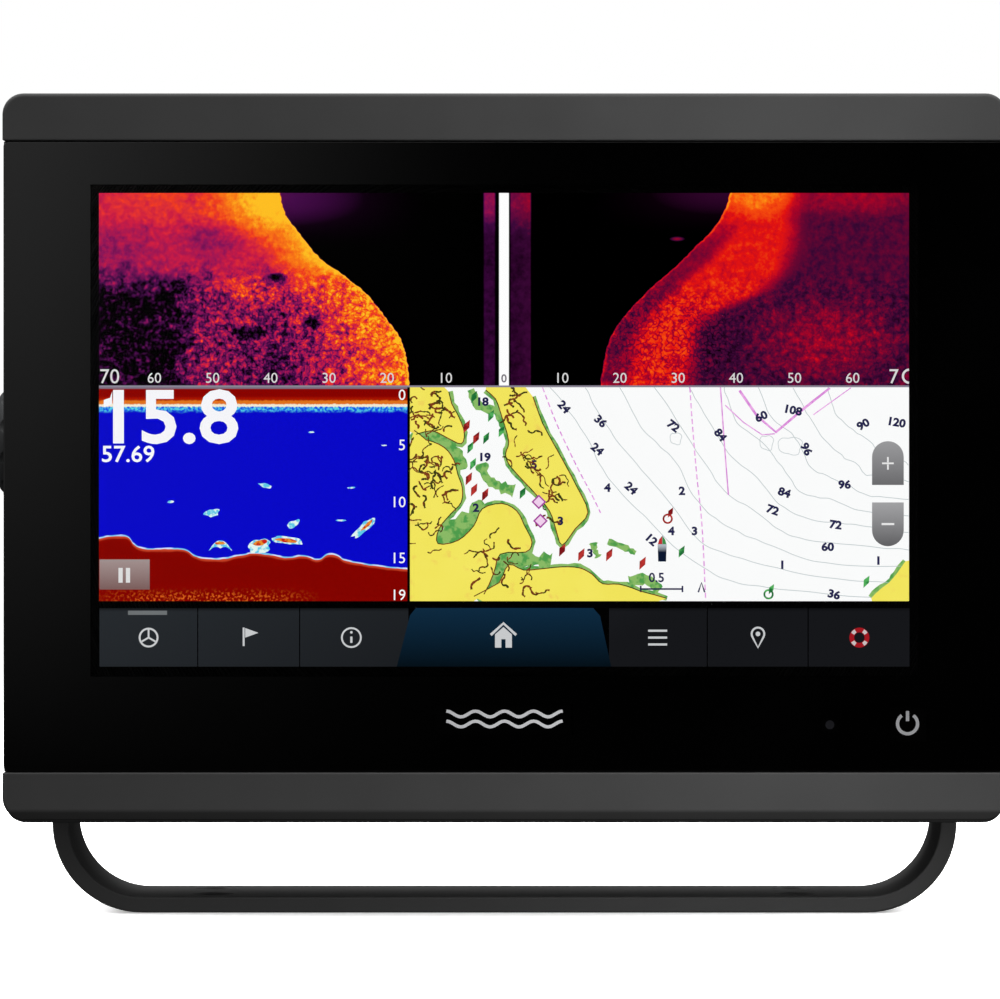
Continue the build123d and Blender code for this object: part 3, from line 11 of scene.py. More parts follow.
import bmesh
import bpy
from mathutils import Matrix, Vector


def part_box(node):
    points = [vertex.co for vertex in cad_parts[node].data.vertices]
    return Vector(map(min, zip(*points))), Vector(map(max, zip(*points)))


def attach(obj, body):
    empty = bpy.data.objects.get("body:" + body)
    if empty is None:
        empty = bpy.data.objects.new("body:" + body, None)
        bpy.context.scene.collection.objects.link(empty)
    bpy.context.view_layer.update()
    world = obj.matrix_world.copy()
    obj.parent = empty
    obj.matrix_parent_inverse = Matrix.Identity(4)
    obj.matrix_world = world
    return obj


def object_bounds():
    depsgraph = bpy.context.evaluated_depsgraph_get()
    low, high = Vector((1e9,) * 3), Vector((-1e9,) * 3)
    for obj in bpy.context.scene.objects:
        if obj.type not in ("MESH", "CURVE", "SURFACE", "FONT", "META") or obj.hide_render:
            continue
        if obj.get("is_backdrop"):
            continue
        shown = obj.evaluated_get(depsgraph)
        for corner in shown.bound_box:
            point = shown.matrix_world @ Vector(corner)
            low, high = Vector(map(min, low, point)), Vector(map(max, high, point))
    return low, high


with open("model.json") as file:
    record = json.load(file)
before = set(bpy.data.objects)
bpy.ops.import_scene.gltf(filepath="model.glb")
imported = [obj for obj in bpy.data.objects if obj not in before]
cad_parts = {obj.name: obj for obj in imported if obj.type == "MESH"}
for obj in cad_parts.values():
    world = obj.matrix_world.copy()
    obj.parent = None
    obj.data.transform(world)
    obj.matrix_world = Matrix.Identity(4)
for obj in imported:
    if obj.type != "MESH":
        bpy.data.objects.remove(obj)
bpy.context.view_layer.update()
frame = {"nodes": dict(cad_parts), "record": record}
scene = bpy.context.scene

MM = 0.001
UNIT = "display_unit"


def put(name, data):
    """Makes an object and adds it to the scene."""
    made = bpy.data.objects.new(name, data)
    scene.collection.objects.link(made)
    return made


# ---- shader helpers


def paint(code):
    """Turns a hex colour into the linear red, green, blue and alpha that shaders use."""
    channels = [int(code[i : i + 2], 16) / 255 for i in (1, 3, 5)]
    linear = [c / 12.92 if c <= 0.04045 else ((c + 0.055) / 1.055) ** 2.4 for c in channels]
    return (*linear, 1.0)


def shade(colour, factor):
    """The same colour made darker or lighter."""
    return (*[min(1.0, channel * factor) for channel in colour[:3]], 1.0)


class Value:
    """A number that a shader works out. Arithmetic on values adds Math nodes."""

    def __init__(self, graph, socket):
        self.graph = graph
        self.socket = socket

    def math(self, operation, *others):
        """What a Math node makes of this value and others."""
        return Value(self.graph, self.graph.add("Math", [self, *others], operation=operation))

    def __add__(self, other):
        return self.math("ADD", other)

    def __sub__(self, other):
        return self.math("SUBTRACT", other)

    def __rsub__(self, other):
        return self.math("MULTIPLY_ADD", -1.0, other)

    def __mul__(self, other):
        return self.math("MULTIPLY", other)

    __radd__ = __add__
    __rmul__ = __mul__

    def above(self, other):
        """The larger of this value and another."""
        return self.math("MAXIMUM", other)

    def below(self, other):
        """The smaller of this value and another."""
        return self.math("MINIMUM", other)

    def clamped(self):
        """The value kept from 0 to 1."""
        return self.above(0.0).below(1.0)

    def size(self):
        """The value without its sign."""
        return self.math("ABSOLUTE")

    def power(self, exponent):
        """The value raised to a power."""
        return self.math("POWER", exponent)

    def rise(self, low, high):
        """Goes smoothly from 0 at low to 1 at high."""
        inputs = [self, low, high, 0.0, 1.0]
        options = {"interpolation_type": "SMOOTHSTEP"}
        return Value(self.graph, self.graph.add("MapRange", inputs, **options))

    def band(self, low, high, soft=0.1):
        """1 between low and high, and 0 outside, with soft edges."""
        return self.rise(low, low + soft) * (1 - self.rise(high - soft, high))


class Graph:
    """The node tree of a new material, or of a new world."""

    def __init__(self, name, library="materials"):
        self.owner = getattr(bpy.data, library).new(name)
        self.owner.use_nodes = True
        self.tree = self.owner.node_tree
        self.tree.nodes.clear()
        self.spot = None

    def feed(self, socket, value):
        """Joins a value, a socket, a hex colour or a plain number to an input."""
        if isinstance(value, str):
            value = paint(value)
        if isinstance(value, Value):
            value = value.socket
        if isinstance(value, bpy.types.NodeSocket):
            self.tree.links.new(value, socket)
        else:
            socket.default_value = value

    def add(self, kind, inputs, output=0, **options):
        """Adds a node, fills its inputs by position or by name and returns one output."""
        node = self.tree.nodes.new("ShaderNode" + kind)
        for key, value in options.items():
            setattr(node, key, value)
        named = inputs.items() if isinstance(inputs, dict) else enumerate(inputs)
        for key, value in named:
            self.feed(node.inputs[key], value)
        return node.outputs[output]

    def place(self):
        """The point's place in the CAD frame at rest, in metres."""
        if self.spot is None:
            self.spot = self.add("TexCoord", {}, "Object")
        return self.spot

    def axes(self, place):
        """A place's x, y and z as values."""
        node = self.tree.nodes.new("ShaderNodeSeparateXYZ")
        self.feed(node.inputs[0], place)
        return [Value(self, output) for output in node.outputs]

    def noise(self, grain, detail=2.0, stretch=(1, 1, 1)):
        """Soft random mottling, 0 to 1, whose patches are about one grain in millimetres across."""
        inputs = {"Vector": self.place(), "Scale": stretch}
        moved = self.add("Mapping", inputs, vector_type="POINT")
        inputs = {"Vector": moved, "Scale": 1 / (grain * MM), "Detail": detail}
        return Value(self, self.add("TexNoise", inputs))

    def cells(self, grain):
        """The distance from the middle of random cells, as in a spark-eroded mould."""
        inputs = {"Vector": self.place(), "Scale": 1 / (grain * MM)}
        return Value(self, self.add("TexVoronoi", inputs, "Distance"))

    def mix(self, factor, first, second):
        """A blend of two colours."""
        inputs = {"Factor": factor, 6: first, 7: second}
        return self.add("Mix", inputs, 2, data_type="RGBA")

    def ramp(self, value, stops):
        """A colour read off a scale of (place, hex colour) stops."""
        node = self.tree.nodes.new("ShaderNodeValToRGB")
        self.feed(node.inputs[0], value)
        scale = node.color_ramp.elements
        while len(scale) < len(stops):
            scale.new(0.5)
        for stop, (position, code) in zip(scale, stops):
            stop.position = position
            stop.color = paint(code)
        return node.outputs[0]

    def profile(self, value, points):
        """A smooth curve through (input, output) points."""
        low_in, high_in = points[0][0], points[-1][0]
        low_out = min(point[1] for point in points)
        high_out = max(point[1] for point in points)
        share = (value - low_in) * (1 / (high_in - low_in))
        node = self.tree.nodes.new("ShaderNodeFloatCurve")
        self.feed(node.inputs["Value"], share)
        curve = node.mapping.curves[0].points
        for _ in range(len(points) - 2):
            curve.new(0.5, 0.5)
        for knot, (at, out) in zip(curve, points):
            knot.location = (
                (at - low_in) / (high_in - low_in),
                (out - low_out) / (high_out - low_out),
            )
        node.mapping.update()
        return Value(self, node.outputs[0]) * (high_out - low_out) + low_out

    def edges(self, radius):
        """The rounded normal near edges, and a value that is 1 on sharp outer edges."""
        rounded = self.add("Bevel", {"Radius": radius * MM}, samples=4)
        flat = self.add("NewGeometry", {}, "Normal")
        facing = self.add("VectorMath", [rounded, flat], "Value", operation="DOT_PRODUCT")
        return rounded, 1 - Value(self, facing)

    def bump(self, height, depth, normal=None):
        """A normal roughened by a height from 0 to 1 that is depth millimetres deep."""
        inputs = {"Height": height, "Distance": depth * MM}
        if normal is not None:
            inputs["Normal"] = normal
        return self.add("Bump", inputs)

    def surface(self, inputs):
        """Ends a material that reflects light."""
        return self.output(self.add("BsdfPrincipled", inputs))

    def output(self, shader, kind="Material"):
        """Makes the shader the surface of the material or the world, and returns that."""
        node = self.tree.nodes.new("ShaderNodeOutput" + kind)
        self.tree.links.new(shader, node.inputs["Surface"])
        return self.owner


# ---- solid finishes


def finish(
    name, tone, rough, grain, depth, metal=0.0, mottle=0.15, wear_and_highlight=0.5, pitted=False, shine=0.5
):
    """A moulded, rubber or metal surface with grain, uneven colour and lighter edges: rubbed wear
    plus a painted edge highlight.
    """
    graph = Graph(name)
    colour = paint(tone)
    broad = graph.noise(14, detail=3)
    fine = graph.noise(grain)
    rounded, corner = graph.edges(0.3)
    # Outer edges made lighter in patches: partly rubbed wear, partly a painted edge highlight.
    worn_and_highlit = corner.rise(0.04, 0.3) * broad.rise(0.3, 0.65) * wear_and_highlight
    body = graph.mix(broad, shade(colour, 1 - mottle), shade(colour, 1 + mottle))
    body = graph.mix(fine * 0.35, body, shade(colour, 1.5))
    body = graph.mix(worn_and_highlit, body, shade(colour, 2.4))
    relief = graph.cells(grain) if pitted else fine
    inputs = {
        "Base Color": body,
        "Metallic": metal,
        "Roughness": rough + 0.12 * (fine - 0.5) - 0.12 * worn_and_highlit + 0.06 * (broad - 0.5),
        "Specular IOR Level": shine,
        "Normal": graph.bump(relief, depth, rounded),
    }
    return graph.surface(inputs)


def brushed(name, tone, rough):
    """A machined or drawn metal with fine streaks along one axis."""
    graph = Graph(name)
    colour = paint(tone)
    streaks = graph.noise(0.25, detail=3, stretch=(1, 1, 0.02))
    stain = graph.noise(9, detail=3)
    rounded, corner = graph.edges(0.2)
    body = graph.mix(stain, shade(colour, 0.82), shade(colour, 1.08))
    # Every outer edge made lighter: a painted edge highlight, partly rubbed wear.
    body = graph.mix(corner.rise(0.04, 0.3) * 0.6, body, shade(colour, 1.35))
    inputs = {
        "Base Color": body,
        "Metallic": 1.0,
        "Roughness": rough + 0.18 * (streaks - 0.5) + 0.1 * (stain - 0.5),
        "Normal": graph.bump(streaks, 0.006, rounded),
    }
    return graph.surface(inputs)


def circuit_board(name, tone, copper):
    """Green solder mask over copper tracks that show as slightly paler, raised lanes."""
    graph = Graph(name)
    options = {"wave_type": "BANDS", "bands_direction": "DIAGONAL"}
    inputs = {"Vector": graph.place(), "Scale": 180.0, "Distortion": 9.0, "Detail": 1.0}
    lanes = Value(graph, graph.add("TexWave", inputs, "Fac", **options)).rise(0.55, 0.7)
    colour = graph.mix(lanes, tone, copper)
    rounded, _ = graph.edges(0.2)
    inputs = {
        "Base Color": colour,
        "Roughness": 0.32 + 0.1 * graph.noise(3),
        "Normal": graph.bump(lanes, 0.03, rounded),
    }
    return graph.surface(inputs)


def amber_film(name):
    """Polyimide ribbon with copper lines running across its width."""
    graph = Graph(name)
    inputs = {"Vector": graph.place(), "Scale": 320.0}
    options = {"wave_type": "BANDS", "bands_direction": "X"}
    lines = Value(graph, graph.add("TexWave", inputs, "Fac", **options)).rise(0.4, 0.6)
    colour = graph.mix(lines, "#b06a1c", "#7a4210")
    inputs = {
        "Base Color": colour,
        "Roughness": 0.28 + 0.1 * graph.noise(4),
        "Normal": graph.bump(lines, 0.01),
    }
    return graph.surface(inputs)


def see_through(graph, shine, rough, colour=(0.8, 0.8, 0.8, 1)):
    """A clear shader that mirrors a little of the room from its front."""
    gloss = graph.add("BsdfGlossy", {"Color": colour, "Roughness": rough})
    clear = graph.add("BsdfTransparent", {})
    angle = Value(graph, graph.add("Fresnel", {"IOR": 1.5}))
    front = 1 - Value(graph, graph.add("NewGeometry", {}, "Backfacing"))
    return graph.add("MixShader", [angle * front * shine, clear, gloss])


def clear_film(name, tone):
    """A film bonded behind the glass: it lets the picture through and mirrors nothing."""
    graph = Graph(name)
    smear = graph.noise(25, detail=3)
    return graph.output(see_through(graph, 0.0, 0.05 + 0.04 * smear, paint(tone)))


# ---- where the picture lies

panel_low, panel_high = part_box("lcd_panel")
glass_low, glass_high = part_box("cover_glass")

PANEL_EDGE = 3.2 * MM  # dark edge of the panel round its lit area
SCREEN_LEFT = panel_low.x + PANEL_EDGE
SCREEN_BOTTOM = panel_low.z + PANEL_EDGE
SCREEN_FACE = panel_low.y
LAYER = 0.04 * MM  # thickness of one drawn layer

WIDE = 153.6  # the lit area, in millimetres
TALL = 90.0
INK_GAP = 1.6  # bare glass between the lit area and the black ink round it
MENU_TOP = 11.6
SPLIT_LOW = 12.7  # lower edge of the two lower pictures
SPLIT_HIGH = 53.2  # lower edge of the wide upper picture
SONAR_RIGHT = 58.4
CHART_LEFT = 58.9
CHART_RIGHT = 153.4

# Places of the marks printed behind the glass, in metres.
EMBLEM_AT = (0.0, 38.0 * MM)
POWER_AT = (76.3 * MM, 37.1 * MM)
SENSOR_AT = (61.6 * MM, 36.9 * MM)


def screen_axes(graph):
    """Millimetres right of and above the lower left corner of the lit area."""
    x, _, z = graph.axes(graph.place())
    return (x - SCREEN_LEFT) * (1 / MM), (z - SCREEN_BOTTOM) * (1 / MM)


def hump(u, v, at, wide, tall):
    """A soft mound that is 1 at a point and 0 beyond its width and height."""
    across = (u - at[0]) * (1 / wide)
    up = (v - at[1]) * (1 / tall)
    return (1 - across * across - up * up).above(0.0)


# ---- cover glass


def cover_glass_finish():
    """Clear over the screen and the printed marks, and backed by black ink elsewhere."""
    graph = Graph("cover_glass")
    x, _, z = graph.axes(graph.place())
    window_x = (panel_high.x - panel_low.x) / 2 - INK_GAP * MM
    window_z = (panel_high.z - panel_low.z) / 2 - INK_GAP * MM
    centre_x = (panel_high.x + panel_low.x) / 2
    centre_z = (panel_high.z + panel_low.z) / 2
    soft = 0.1 * MM  # width of the ink's edge

    def opening(at_x, at_z, half_x, half_z):
        across = 1 - (x - at_x).size().rise(half_x - soft, half_x)
        up = 1 - (z - at_z).size().rise(half_z - soft, half_z)
        return across * up

    window = opening(centre_x, centre_z, window_x, window_z)
    marks = opening(*EMBLEM_AT, 13 * MM, 3 * MM)
    marks = marks.above(opening(*POWER_AT, 3.5 * MM, 3.5 * MM))
    marks = marks.above(opening(*SENSOR_AT, 1.6 * MM, 1.6 * MM))
    smear = graph.noise(30, detail=3)
    rounded, _ = graph.edges(0.15)
    black = {
        "Base Color": graph.mix(smear, "#000000", "#010101"),
        "Roughness": 0.03 + 0.03 * smear,
        "IOR": 1.5,
        "Normal": rounded,
    }
    ink = graph.add("BsdfPrincipled", black)
    glass = see_through(graph, 0.25 + 0.75 * marks, 0.03 + 0.02 * smear)
    return graph.output(graph.add("MixShader", [window.above(marks), ink, glass]))


# ---- CAD node materials

# Base colour, roughness, and the grain's width and depth in millimetres.
MOULDED = {
    "bail_plastic": ("#222222", 0.46, 0.45, 0.010, {}),
    "trim_plastic": ("#262626", 0.42, 0.30, 0.006, {}),
    "frame_plastic": ("#161616", 0.50, 0.50, 0.012, {}),
    "housing_plastic": ("#1c1c1d", 0.55, 0.70, 0.030, dict(pitted=True)),
    "lcd_glass": ("#020202", 0.6, 2.0, 0.001, dict(mottle=0.3, wear_and_highlight=0.0, shine=0.0)),
    "light_guide": ("#dfe2e2", 0.22, 1.2, 0.010, dict(mottle=0.05, wear_and_highlight=0.0)),
    "gasket_rubber": ("#141414", 0.72, 0.50, 0.015, dict(wear_and_highlight=0.2)),
    "knob_rubber": ("#191a1b", 0.60, 0.40, 0.018, dict(wear_and_highlight=0.4)),
    "silicone_pad": ("#8a94a0", 0.65, 0.80, 0.020, dict(wear_and_highlight=0.1)),
    "led_strip": ("#e2e0c8", 0.35, 0.80, 0.008, dict(wear_and_highlight=0.1)),
    "chip_black": ("#1a1a1b", 0.55, 0.30, 0.008, dict(wear_and_highlight=0.3)),
    "connector_plastic": ("#d8d0b8", 0.42, 0.60, 0.008, dict(wear_and_highlight=0.2)),
    "insert_plastic": ("#18181a", 0.50, 0.35, 0.010, dict(wear_and_highlight=0.4)),
    "chassis_aluminium": ("#c2c4c8", 0.42, 0.9, 0.02, dict(metal=1.0)),
    "ferrite": ("#303034", 0.62, 0.50, 0.030, dict(pitted=True)),
    "patch_ceramic": ("#b8a888", 0.50, 0.60, 0.015, dict(wear_and_highlight=0.1)),
    "wire_jacket": ("#1c1c1e", 0.45, 0.60, 0.008, dict(wear_and_highlight=0.1)),
    "vent_plastic": ("#3c4046", 0.50, 0.40, 0.012, {}),
    "card_plastic": ("#1c1c20", 0.40, 0.30, 0.006, {}),
}
# Base colour and roughness.
MACHINED = {
    "tinned_steel": ("#c4c6c4", 0.36),
    "stainless_steel": ("#b4b6b8", 0.30),
    "capacitor_can": ("#b8bcc2", 0.30),
    "brass": ("#c8a050", 0.30),
    "gold_pins": ("#e8c060", 0.22),
}
FINISHES = {
    "cover_glass": cover_glass_finish(),
    "touch_film": clear_film("touch_film", "#e8f0f4"),
    "flex_polyimide": amber_film("flex_polyimide"),
    "solder_mask": circuit_board("solder_mask", "#0a3a20", "#17603a"),
}
for slot, (tone, rough, grain, depth, extra) in MOULDED.items():
    FINISHES[slot] = finish(slot, tone, rough, grain, depth, **extra)
for slot, (tone, rough) in MACHINED.items():
    FINISHES[slot] = brushed(slot, tone, rough)

for subpart in frame["record"]["subparts"]:
    materials = frame["nodes"][subpart["node"]].data.materials
    materials.clear()
    materials.append(FINISHES[subpart["material_slot"]])


# ---- drawing flat pieces

DIGIT_HEIGHT = 0.69  # height of a digit in the built-in font, for a text size of 1


def area(outline):
    """Twice the signed area of an outline: positive if it runs anticlockwise."""
    total = 0.0
    for (u0, v0), (u1, v1) in zip(outline, outline[1:] + outline[:1]):
        total += u0 * v1 - u1 * v0
    return total


def smooth(points, closed=False, steps=5):
    """A rounded line through the points."""
    count = len(points)
    result = []
    for i in range(count if closed else count - 1):
        knots = []
        for j in (i - 1, i, i + 1, i + 2):
            knots.append(points[j % count] if closed else points[min(max(j, 0), count - 1)])
        for step in range(steps):
            t = step / steps
            weights = (
                -0.5 * t + t**2 - 0.5 * t**3,
                1 - 2.5 * t**2 + 1.5 * t**3,
                0.5 * t + 2 * t**2 - 1.5 * t**3,
                -0.5 * t**2 + 0.5 * t**3,
            )
            u = sum(w * k[0] for w, k in zip(weights, knots))
            v = sum(w * k[1] for w, k in zip(weights, knots))
            result.append((u, v))
    if not closed:
        result.append(points[-1])
    return result


def turned(at, x, y, degrees):
    """A point x right of and y above another, turned about it."""
    cos, sin = math.cos(math.radians(degrees)), math.sin(math.radians(degrees))
    return at[0] + x * cos - y * sin, at[1] + x * sin + y * cos


def arc(at, radius, start=0, end=360, steps=24):
    """Points of an arc, in degrees anticlockwise from the right. A full turn isn't closed."""
    full = abs(end - start) >= 360
    count = steps if full else steps + 1
    points = []
    for i in range(count):
        angle = math.radians(start + (end - start) * i / steps)
        points.append((at[0] + radius * math.cos(angle), at[1] + radius * math.sin(angle)))
    return points


def dashes(points, length, gap):
    """Cuts a line into dashes."""
    pieces = []
    current = [points[0]]
    left = length
    drawing = True
    for start, end in zip(points, points[1:]):
        span = math.dist(start, end)
        done = 0.0
        while span - done > left:
            done += left
            share = done / span
            cut = tuple(a + (b - a) * share for a, b in zip(start, end))
            if drawing:
                pieces.append(current + [cut])
            current = [cut]
            drawing = not drawing
            left = length if drawing else gap
        left -= span - done
        if drawing:
            current.append(end)
    if drawing and len(current) > 1:
        pieces.append(current)
    return pieces


def clip(points, low_u, high_u, low_v, high_v):
    """Moves points that are outside a rectangle onto its edge."""
    return [(min(max(u, low_u), high_u), min(max(v, low_v), high_v)) for u, v in points]


def thin_out(points):
    """Drops points that repeat the one before."""
    return [p for i, p in enumerate(points) if i == 0 or math.dist(p, points[i - 1]) > 1e-4]


def oblong(left, bottom, right, top):
    """The outline of a rectangle."""
    return [(left, bottom), (right, bottom), (right, top), (left, top)]


class Sheet:
    """Thin flat shapes of one finish, gathered into one piece of the display."""

    def __init__(self, name, layer, base=None, within=None):
        self.name = name
        self.within = within
        self.mesh = bmesh.new()
        self.back = (SCREEN_FACE if base is None else base) - layer * LAYER
        self.front = self.back - LAYER

    def corner(self, u, v, y):
        """Adds a point at a place of the picture and a depth of the unit."""
        if self.within:
            u, v = clip([(u, v)], *self.within)[0]
        return self.mesh.verts.new((SCREEN_LEFT + u * MM, y, SCREEN_BOTTOM + v * MM))

    def shape(self, outline):
        """Adds a filled shape."""
        if self.within:
            outline = clip(outline, *self.within)
        outline = thin_out(outline)
        if math.dist(outline[0], outline[-1]) < 1e-4:
            outline = outline[:-1]
        if area(outline) < 0:
            outline = outline[::-1]
        front = [self.corner(u, v, self.front) for u, v in outline]
        back = [self.corner(u, v, self.back) for u, v in outline]
        self.mesh.faces.new(front)
        self.mesh.faces.new(back[::-1])
        for i in range(len(outline)):
            j = (i + 1) % len(outline)
            self.mesh.faces.new((front[i], back[i], back[j], front[j]))

    def box(self, left, bottom, right, top):
        """Adds a rectangle."""
        self.shape(oblong(left, bottom, right, top))

    def line(self, points, width, closed=False):
        """Adds a line of one width, or of a width for each point."""
        points = thin_out(points)
        count = len(points)
        if count < 2:
            return
        widths = width if isinstance(width, list) else [width] * count
        rings = []
        for i, (u, v) in enumerate(points):
            before = points[(i - 1) % count] if closed or i else points[0]
            after = points[(i + 1) % count] if closed or i + 1 < count else points[-1]
            along = Vector((after[0] - before[0], after[1] - before[1])).normalized()
            side = (-along.y * widths[i] / 2, along.x * widths[i] / 2)
            left = (u + side[0], v + side[1])
            right = (u - side[0], v - side[1])
            ring = [self.corner(*right, self.front), self.corner(*left, self.front)]
            ring += [self.corner(*left, self.back), self.corner(*right, self.back)]
            rings.append(ring)
        following = rings[1:] + rings[:1] if closed else rings[1:]
        for ring, after in zip(rings, following):
            for i in range(4):
                j = (i + 1) % 4
                self.mesh.faces.new((ring[i], after[i], after[j], ring[j]))
        if not closed:
            self.mesh.faces.new(rings[0])
            self.mesh.faces.new(rings[-1][::-1])

    def number(self, text, u, v, height, turn=0.0, weight=0.0, stretch=1.0):
        """Adds a plain number, centred on a point and turned anticlockwise."""
        curve = bpy.data.curves.new(self.name, "FONT")
        curve.body = text
        curve.size = height / DIGIT_HEIGHT
        curve.align_x = "CENTER"
        curve.resolution_u = 3
        curve.extrude = 0.5
        curve.offset = weight * curve.size
        holder = put(self.name, curve)
        shape = bpy.data.meshes.new_from_object(
            holder.evaluated_get(bpy.context.evaluated_depsgraph_get())
        )
        bpy.data.objects.remove(holder)
        added = []
        for point in shape.vertices:
            at = turned((u, v), point.co.x * stretch, point.co.y - height / 2, turn)
            added.append(self.corner(*at, self.front if point.co.z > 0 else self.back))
        for face in shape.polygons:
            self.mesh.faces.new([added[i] for i in face.vertices])
        bmesh.ops.remove_doubles(self.mesh, verts=added, dist=1e-6)
        bpy.data.meshes.remove(shape)

    def done(self, material, slot="lcd_glass"):
        """Makes the piece and lets it ride on the display."""
        mesh = bpy.data.meshes.new(self.name)
        self.mesh.to_mesh(mesh)
        self.mesh.free()
        mesh.materials.append(material)
        piece = put(self.name, mesh)
        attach(piece, UNIT)


def flat(name, layer, material, *outlines):
    """A piece that is only filled shapes."""
    sheet = Sheet(name, layer)
    for outline in outlines:
        sheet.shape(outline)
    sheet.done(material)


# ---- lit finishes


def glow(graph, colour):
    """Ends a lit material: the panel's backlight shines through the colour."""
    shader = graph.add("Emission", {"Color": colour, "Strength": 1.0})
    return graph.output(shader)


def lit(name, code, uneven=0.08):
    """A lit colour, a little uneven as a backlight is."""
    graph = Graph(name)
    colour = paint(code)
    cloud = graph.noise(9) * 0.6 + graph.noise(0.5) * 0.4
    return glow(graph, graph.mix(cloud, shade(colour, 1 - uneven), shade(colour, 1 + uneven)))


def lit_blend(name, low_code, high_code, low_v, high_v):
    """A lit colour that changes from the bottom to the top of a shape."""
    graph = Graph(name)
    _, v = screen_axes(graph)
    grain = graph.noise(0.5) - 0.5
    share = (v - low_v) * (1 / (high_v - low_v)) + 0.08 * grain
    return glow(graph, graph.mix(share.clamped(), low_code, high_code))


# ---- wide side-looking picture

ECHO_SCALE = [
    (0.00, "#000000"),
    (0.10, "#0c000c"),
    (0.28, "#440a48"),
    (0.42, "#861258"),
    (0.56, "#cc1a42"),
    (0.70, "#f03c1c"),
    (0.84, "#fa7c14"),
    (0.97, "#ffbe22"),
]
DEEP_SCALE = [
    (0.00, "#000000"),
    (0.10, "#0a0008"),
    (0.28, "#3a0834"),
    (0.42, "#700630"),
    (0.56, "#aa0426"),
    (0.70, "#e41410"),
    (0.84, "#f8500e"),
    (0.97, "#ff9a16"),
]

LEFT_BANK = [
    (53.2, 58.8), (57.3, 58.6), (62.1, 57.3), (66, 54.7), (70, 51.6), (74.4, 46.5),
    (77.8, 41.8), (83, 37.6), (86, 35.4), (90, 34.4),
]
RIGHT_BANK = [
    (53.2, 94.8), (59, 95.7), (62.2, 96.6), (65.6, 98.6), (71.3, 103.7), (76.8, 109.9),
    (79.7, 112.7), (83, 116), (86, 118), (90, 119.4),
]
RED_EDGE = [
    (53.2, 113), (59.6, 114.3), (63, 114.6), (66.4, 117), (68.7, 121), (72.7, 128.6), (77.2, 131.7),
    (90, 133.1),
]

# Brighter and darker patches of the bottom: how strong, where, and how wide and tall.
LEFT_PATCHES = [
    (0.18, (27, 88), 9, 8), (0.12, (13, 89), 14, 6), (0.22, (28, 71.5), 7, 4),
    (-0.1, (21, 81), 8, 4), (-0.5, (40.6, 65.4), 2.4, 1.6), (-0.5, (33.8, 74), 2.2, 1),
    (-0.4, (28.5, 63.5), 3.5, 1.6),
]
RIGHT_PATCHES = [
    (0.24, (124.5, 92), 8, 8), (0.08, (107, 63), 7, 9), (0.2, (143, 90), 16, 5),
    (-0.03, (117, 61), 7, 9),
]


def side_picture_finish():
    """Echoes from the bottom on both sides of a dark strip of water."""
    graph = Graph("side_scan_echoes")
    u, v = screen_axes(graph)
    fine = graph.noise(0.5)
    medium = graph.noise(1.2)
    coarse = graph.noise(3.6)
    texture = fine * 0.22 + medium * 0.53 + coarse * 0.25 - 0.5
    curl = (graph.noise(1.1, detail=1) - 0.5).size()
    curls = 1 - curl.rise(0.01, 0.09)

    left_edge = graph.profile(v, LEFT_BANK) + 0.8 * (medium - 0.5)
    depth = left_edge - u
    upper = (v + 5 * (coarse - 0.5)).rise(70, 78)
    corner_dark = (1 - u.rise(12, 20)) * (1 - v.rise(70, 77))
    floor = 0.42 + 0.12 * upper - 0.3 * corner_dark
    floor = floor - 0.1 * hump(u, v, (0, 79), 18, 6) - 0.1 * hump(u, v, (38, 57), 13, 7)
    slope = 0.024 + 0.012 * upper
    left = (0.93 + 0.05 * upper - slope * depth).above(floor)
    for amount, at, wide, tall in LEFT_PATCHES:
        left = left + amount * hump(u, v, at, wide, tall)
    left = left + texture * (2.0 - 1.35 * upper) - 0.16 * curls * (1 - upper)
    left = left + 0.3 * (1 - depth.size().rise(0.15, 0.6))
    on_left = depth.rise(0.0, 0.25)

    right_edge = graph.profile(v, RIGHT_BANK) + 0.6 * (medium - 0.5)
    depth = u - right_edge
    beyond = u - graph.profile(v, RED_EDGE) + 5 * (medium - 0.5)
    near = 1 - beyond.rise(-4, 2)
    lower = 1 - v.rise(68, 78)
    strip = (1 - depth.rise(3.0, 7.0)) * (1 - v.rise(78, 88))
    right = 0.33 + near * (0.36 - 0.24 * strip)
    right = right + (1 - near) * 0.17 * hump(u, v, (137, 62), 16, 9)
    for amount, at, wide, tall in RIGHT_PATCHES:
        right = right + amount * hump(u, v, at, wide, tall)
    right = right + texture * (0.5 + 0.5 * lower)
    right = right - curls * lower * (0.06 + 0.14 * hump(u, v, (108, 62), 14, 12))
    right = right + 0.2 * (1 - depth.size().rise(0.2, 0.8))
    on_right = depth.rise(0.0, 0.25)

    haze = v.rise(80, 89) * (1 - u.rise(32, 62)) + 0.7 * v.rise(82, 90) * u.rise(92, 118)
    side_stripes = u.band(72.6, 75.3, 0.5) + u.band(77.7, 82.0, 0.4)
    bright = 0.19 + 0.06 * u.rise(79, 82) + 0.24 * v.rise(81, 88)
    water = 0.3 * haze + side_stripes * (bright + 0.4 * texture)
    water = water + 0.5 * hump(u, v, (109.5, 81.3), 1.6, 0.5)
    strength = water + on_left * (left - water) + on_right * (right - water)
    strength = strength.above(0.0)
    warm = graph.ramp(strength, ECHO_SCALE)
    colour = graph.mix(u.rise(68, 84), warm, graph.ramp(strength, DEEP_SCALE))
    boat_track = u.band(75.7, 77.7, 0.15)
    colour = graph.mix(boat_track, colour, "#ffffff")
    rim = v.rise(53.5, 53.6)
    return glow(graph, graph.mix(rim, "#8a8494", colour))


flat("side_scan_picture", 0, side_picture_finish(), oblong(0, SPLIT_HIGH, CHART_RIGHT, TALL))

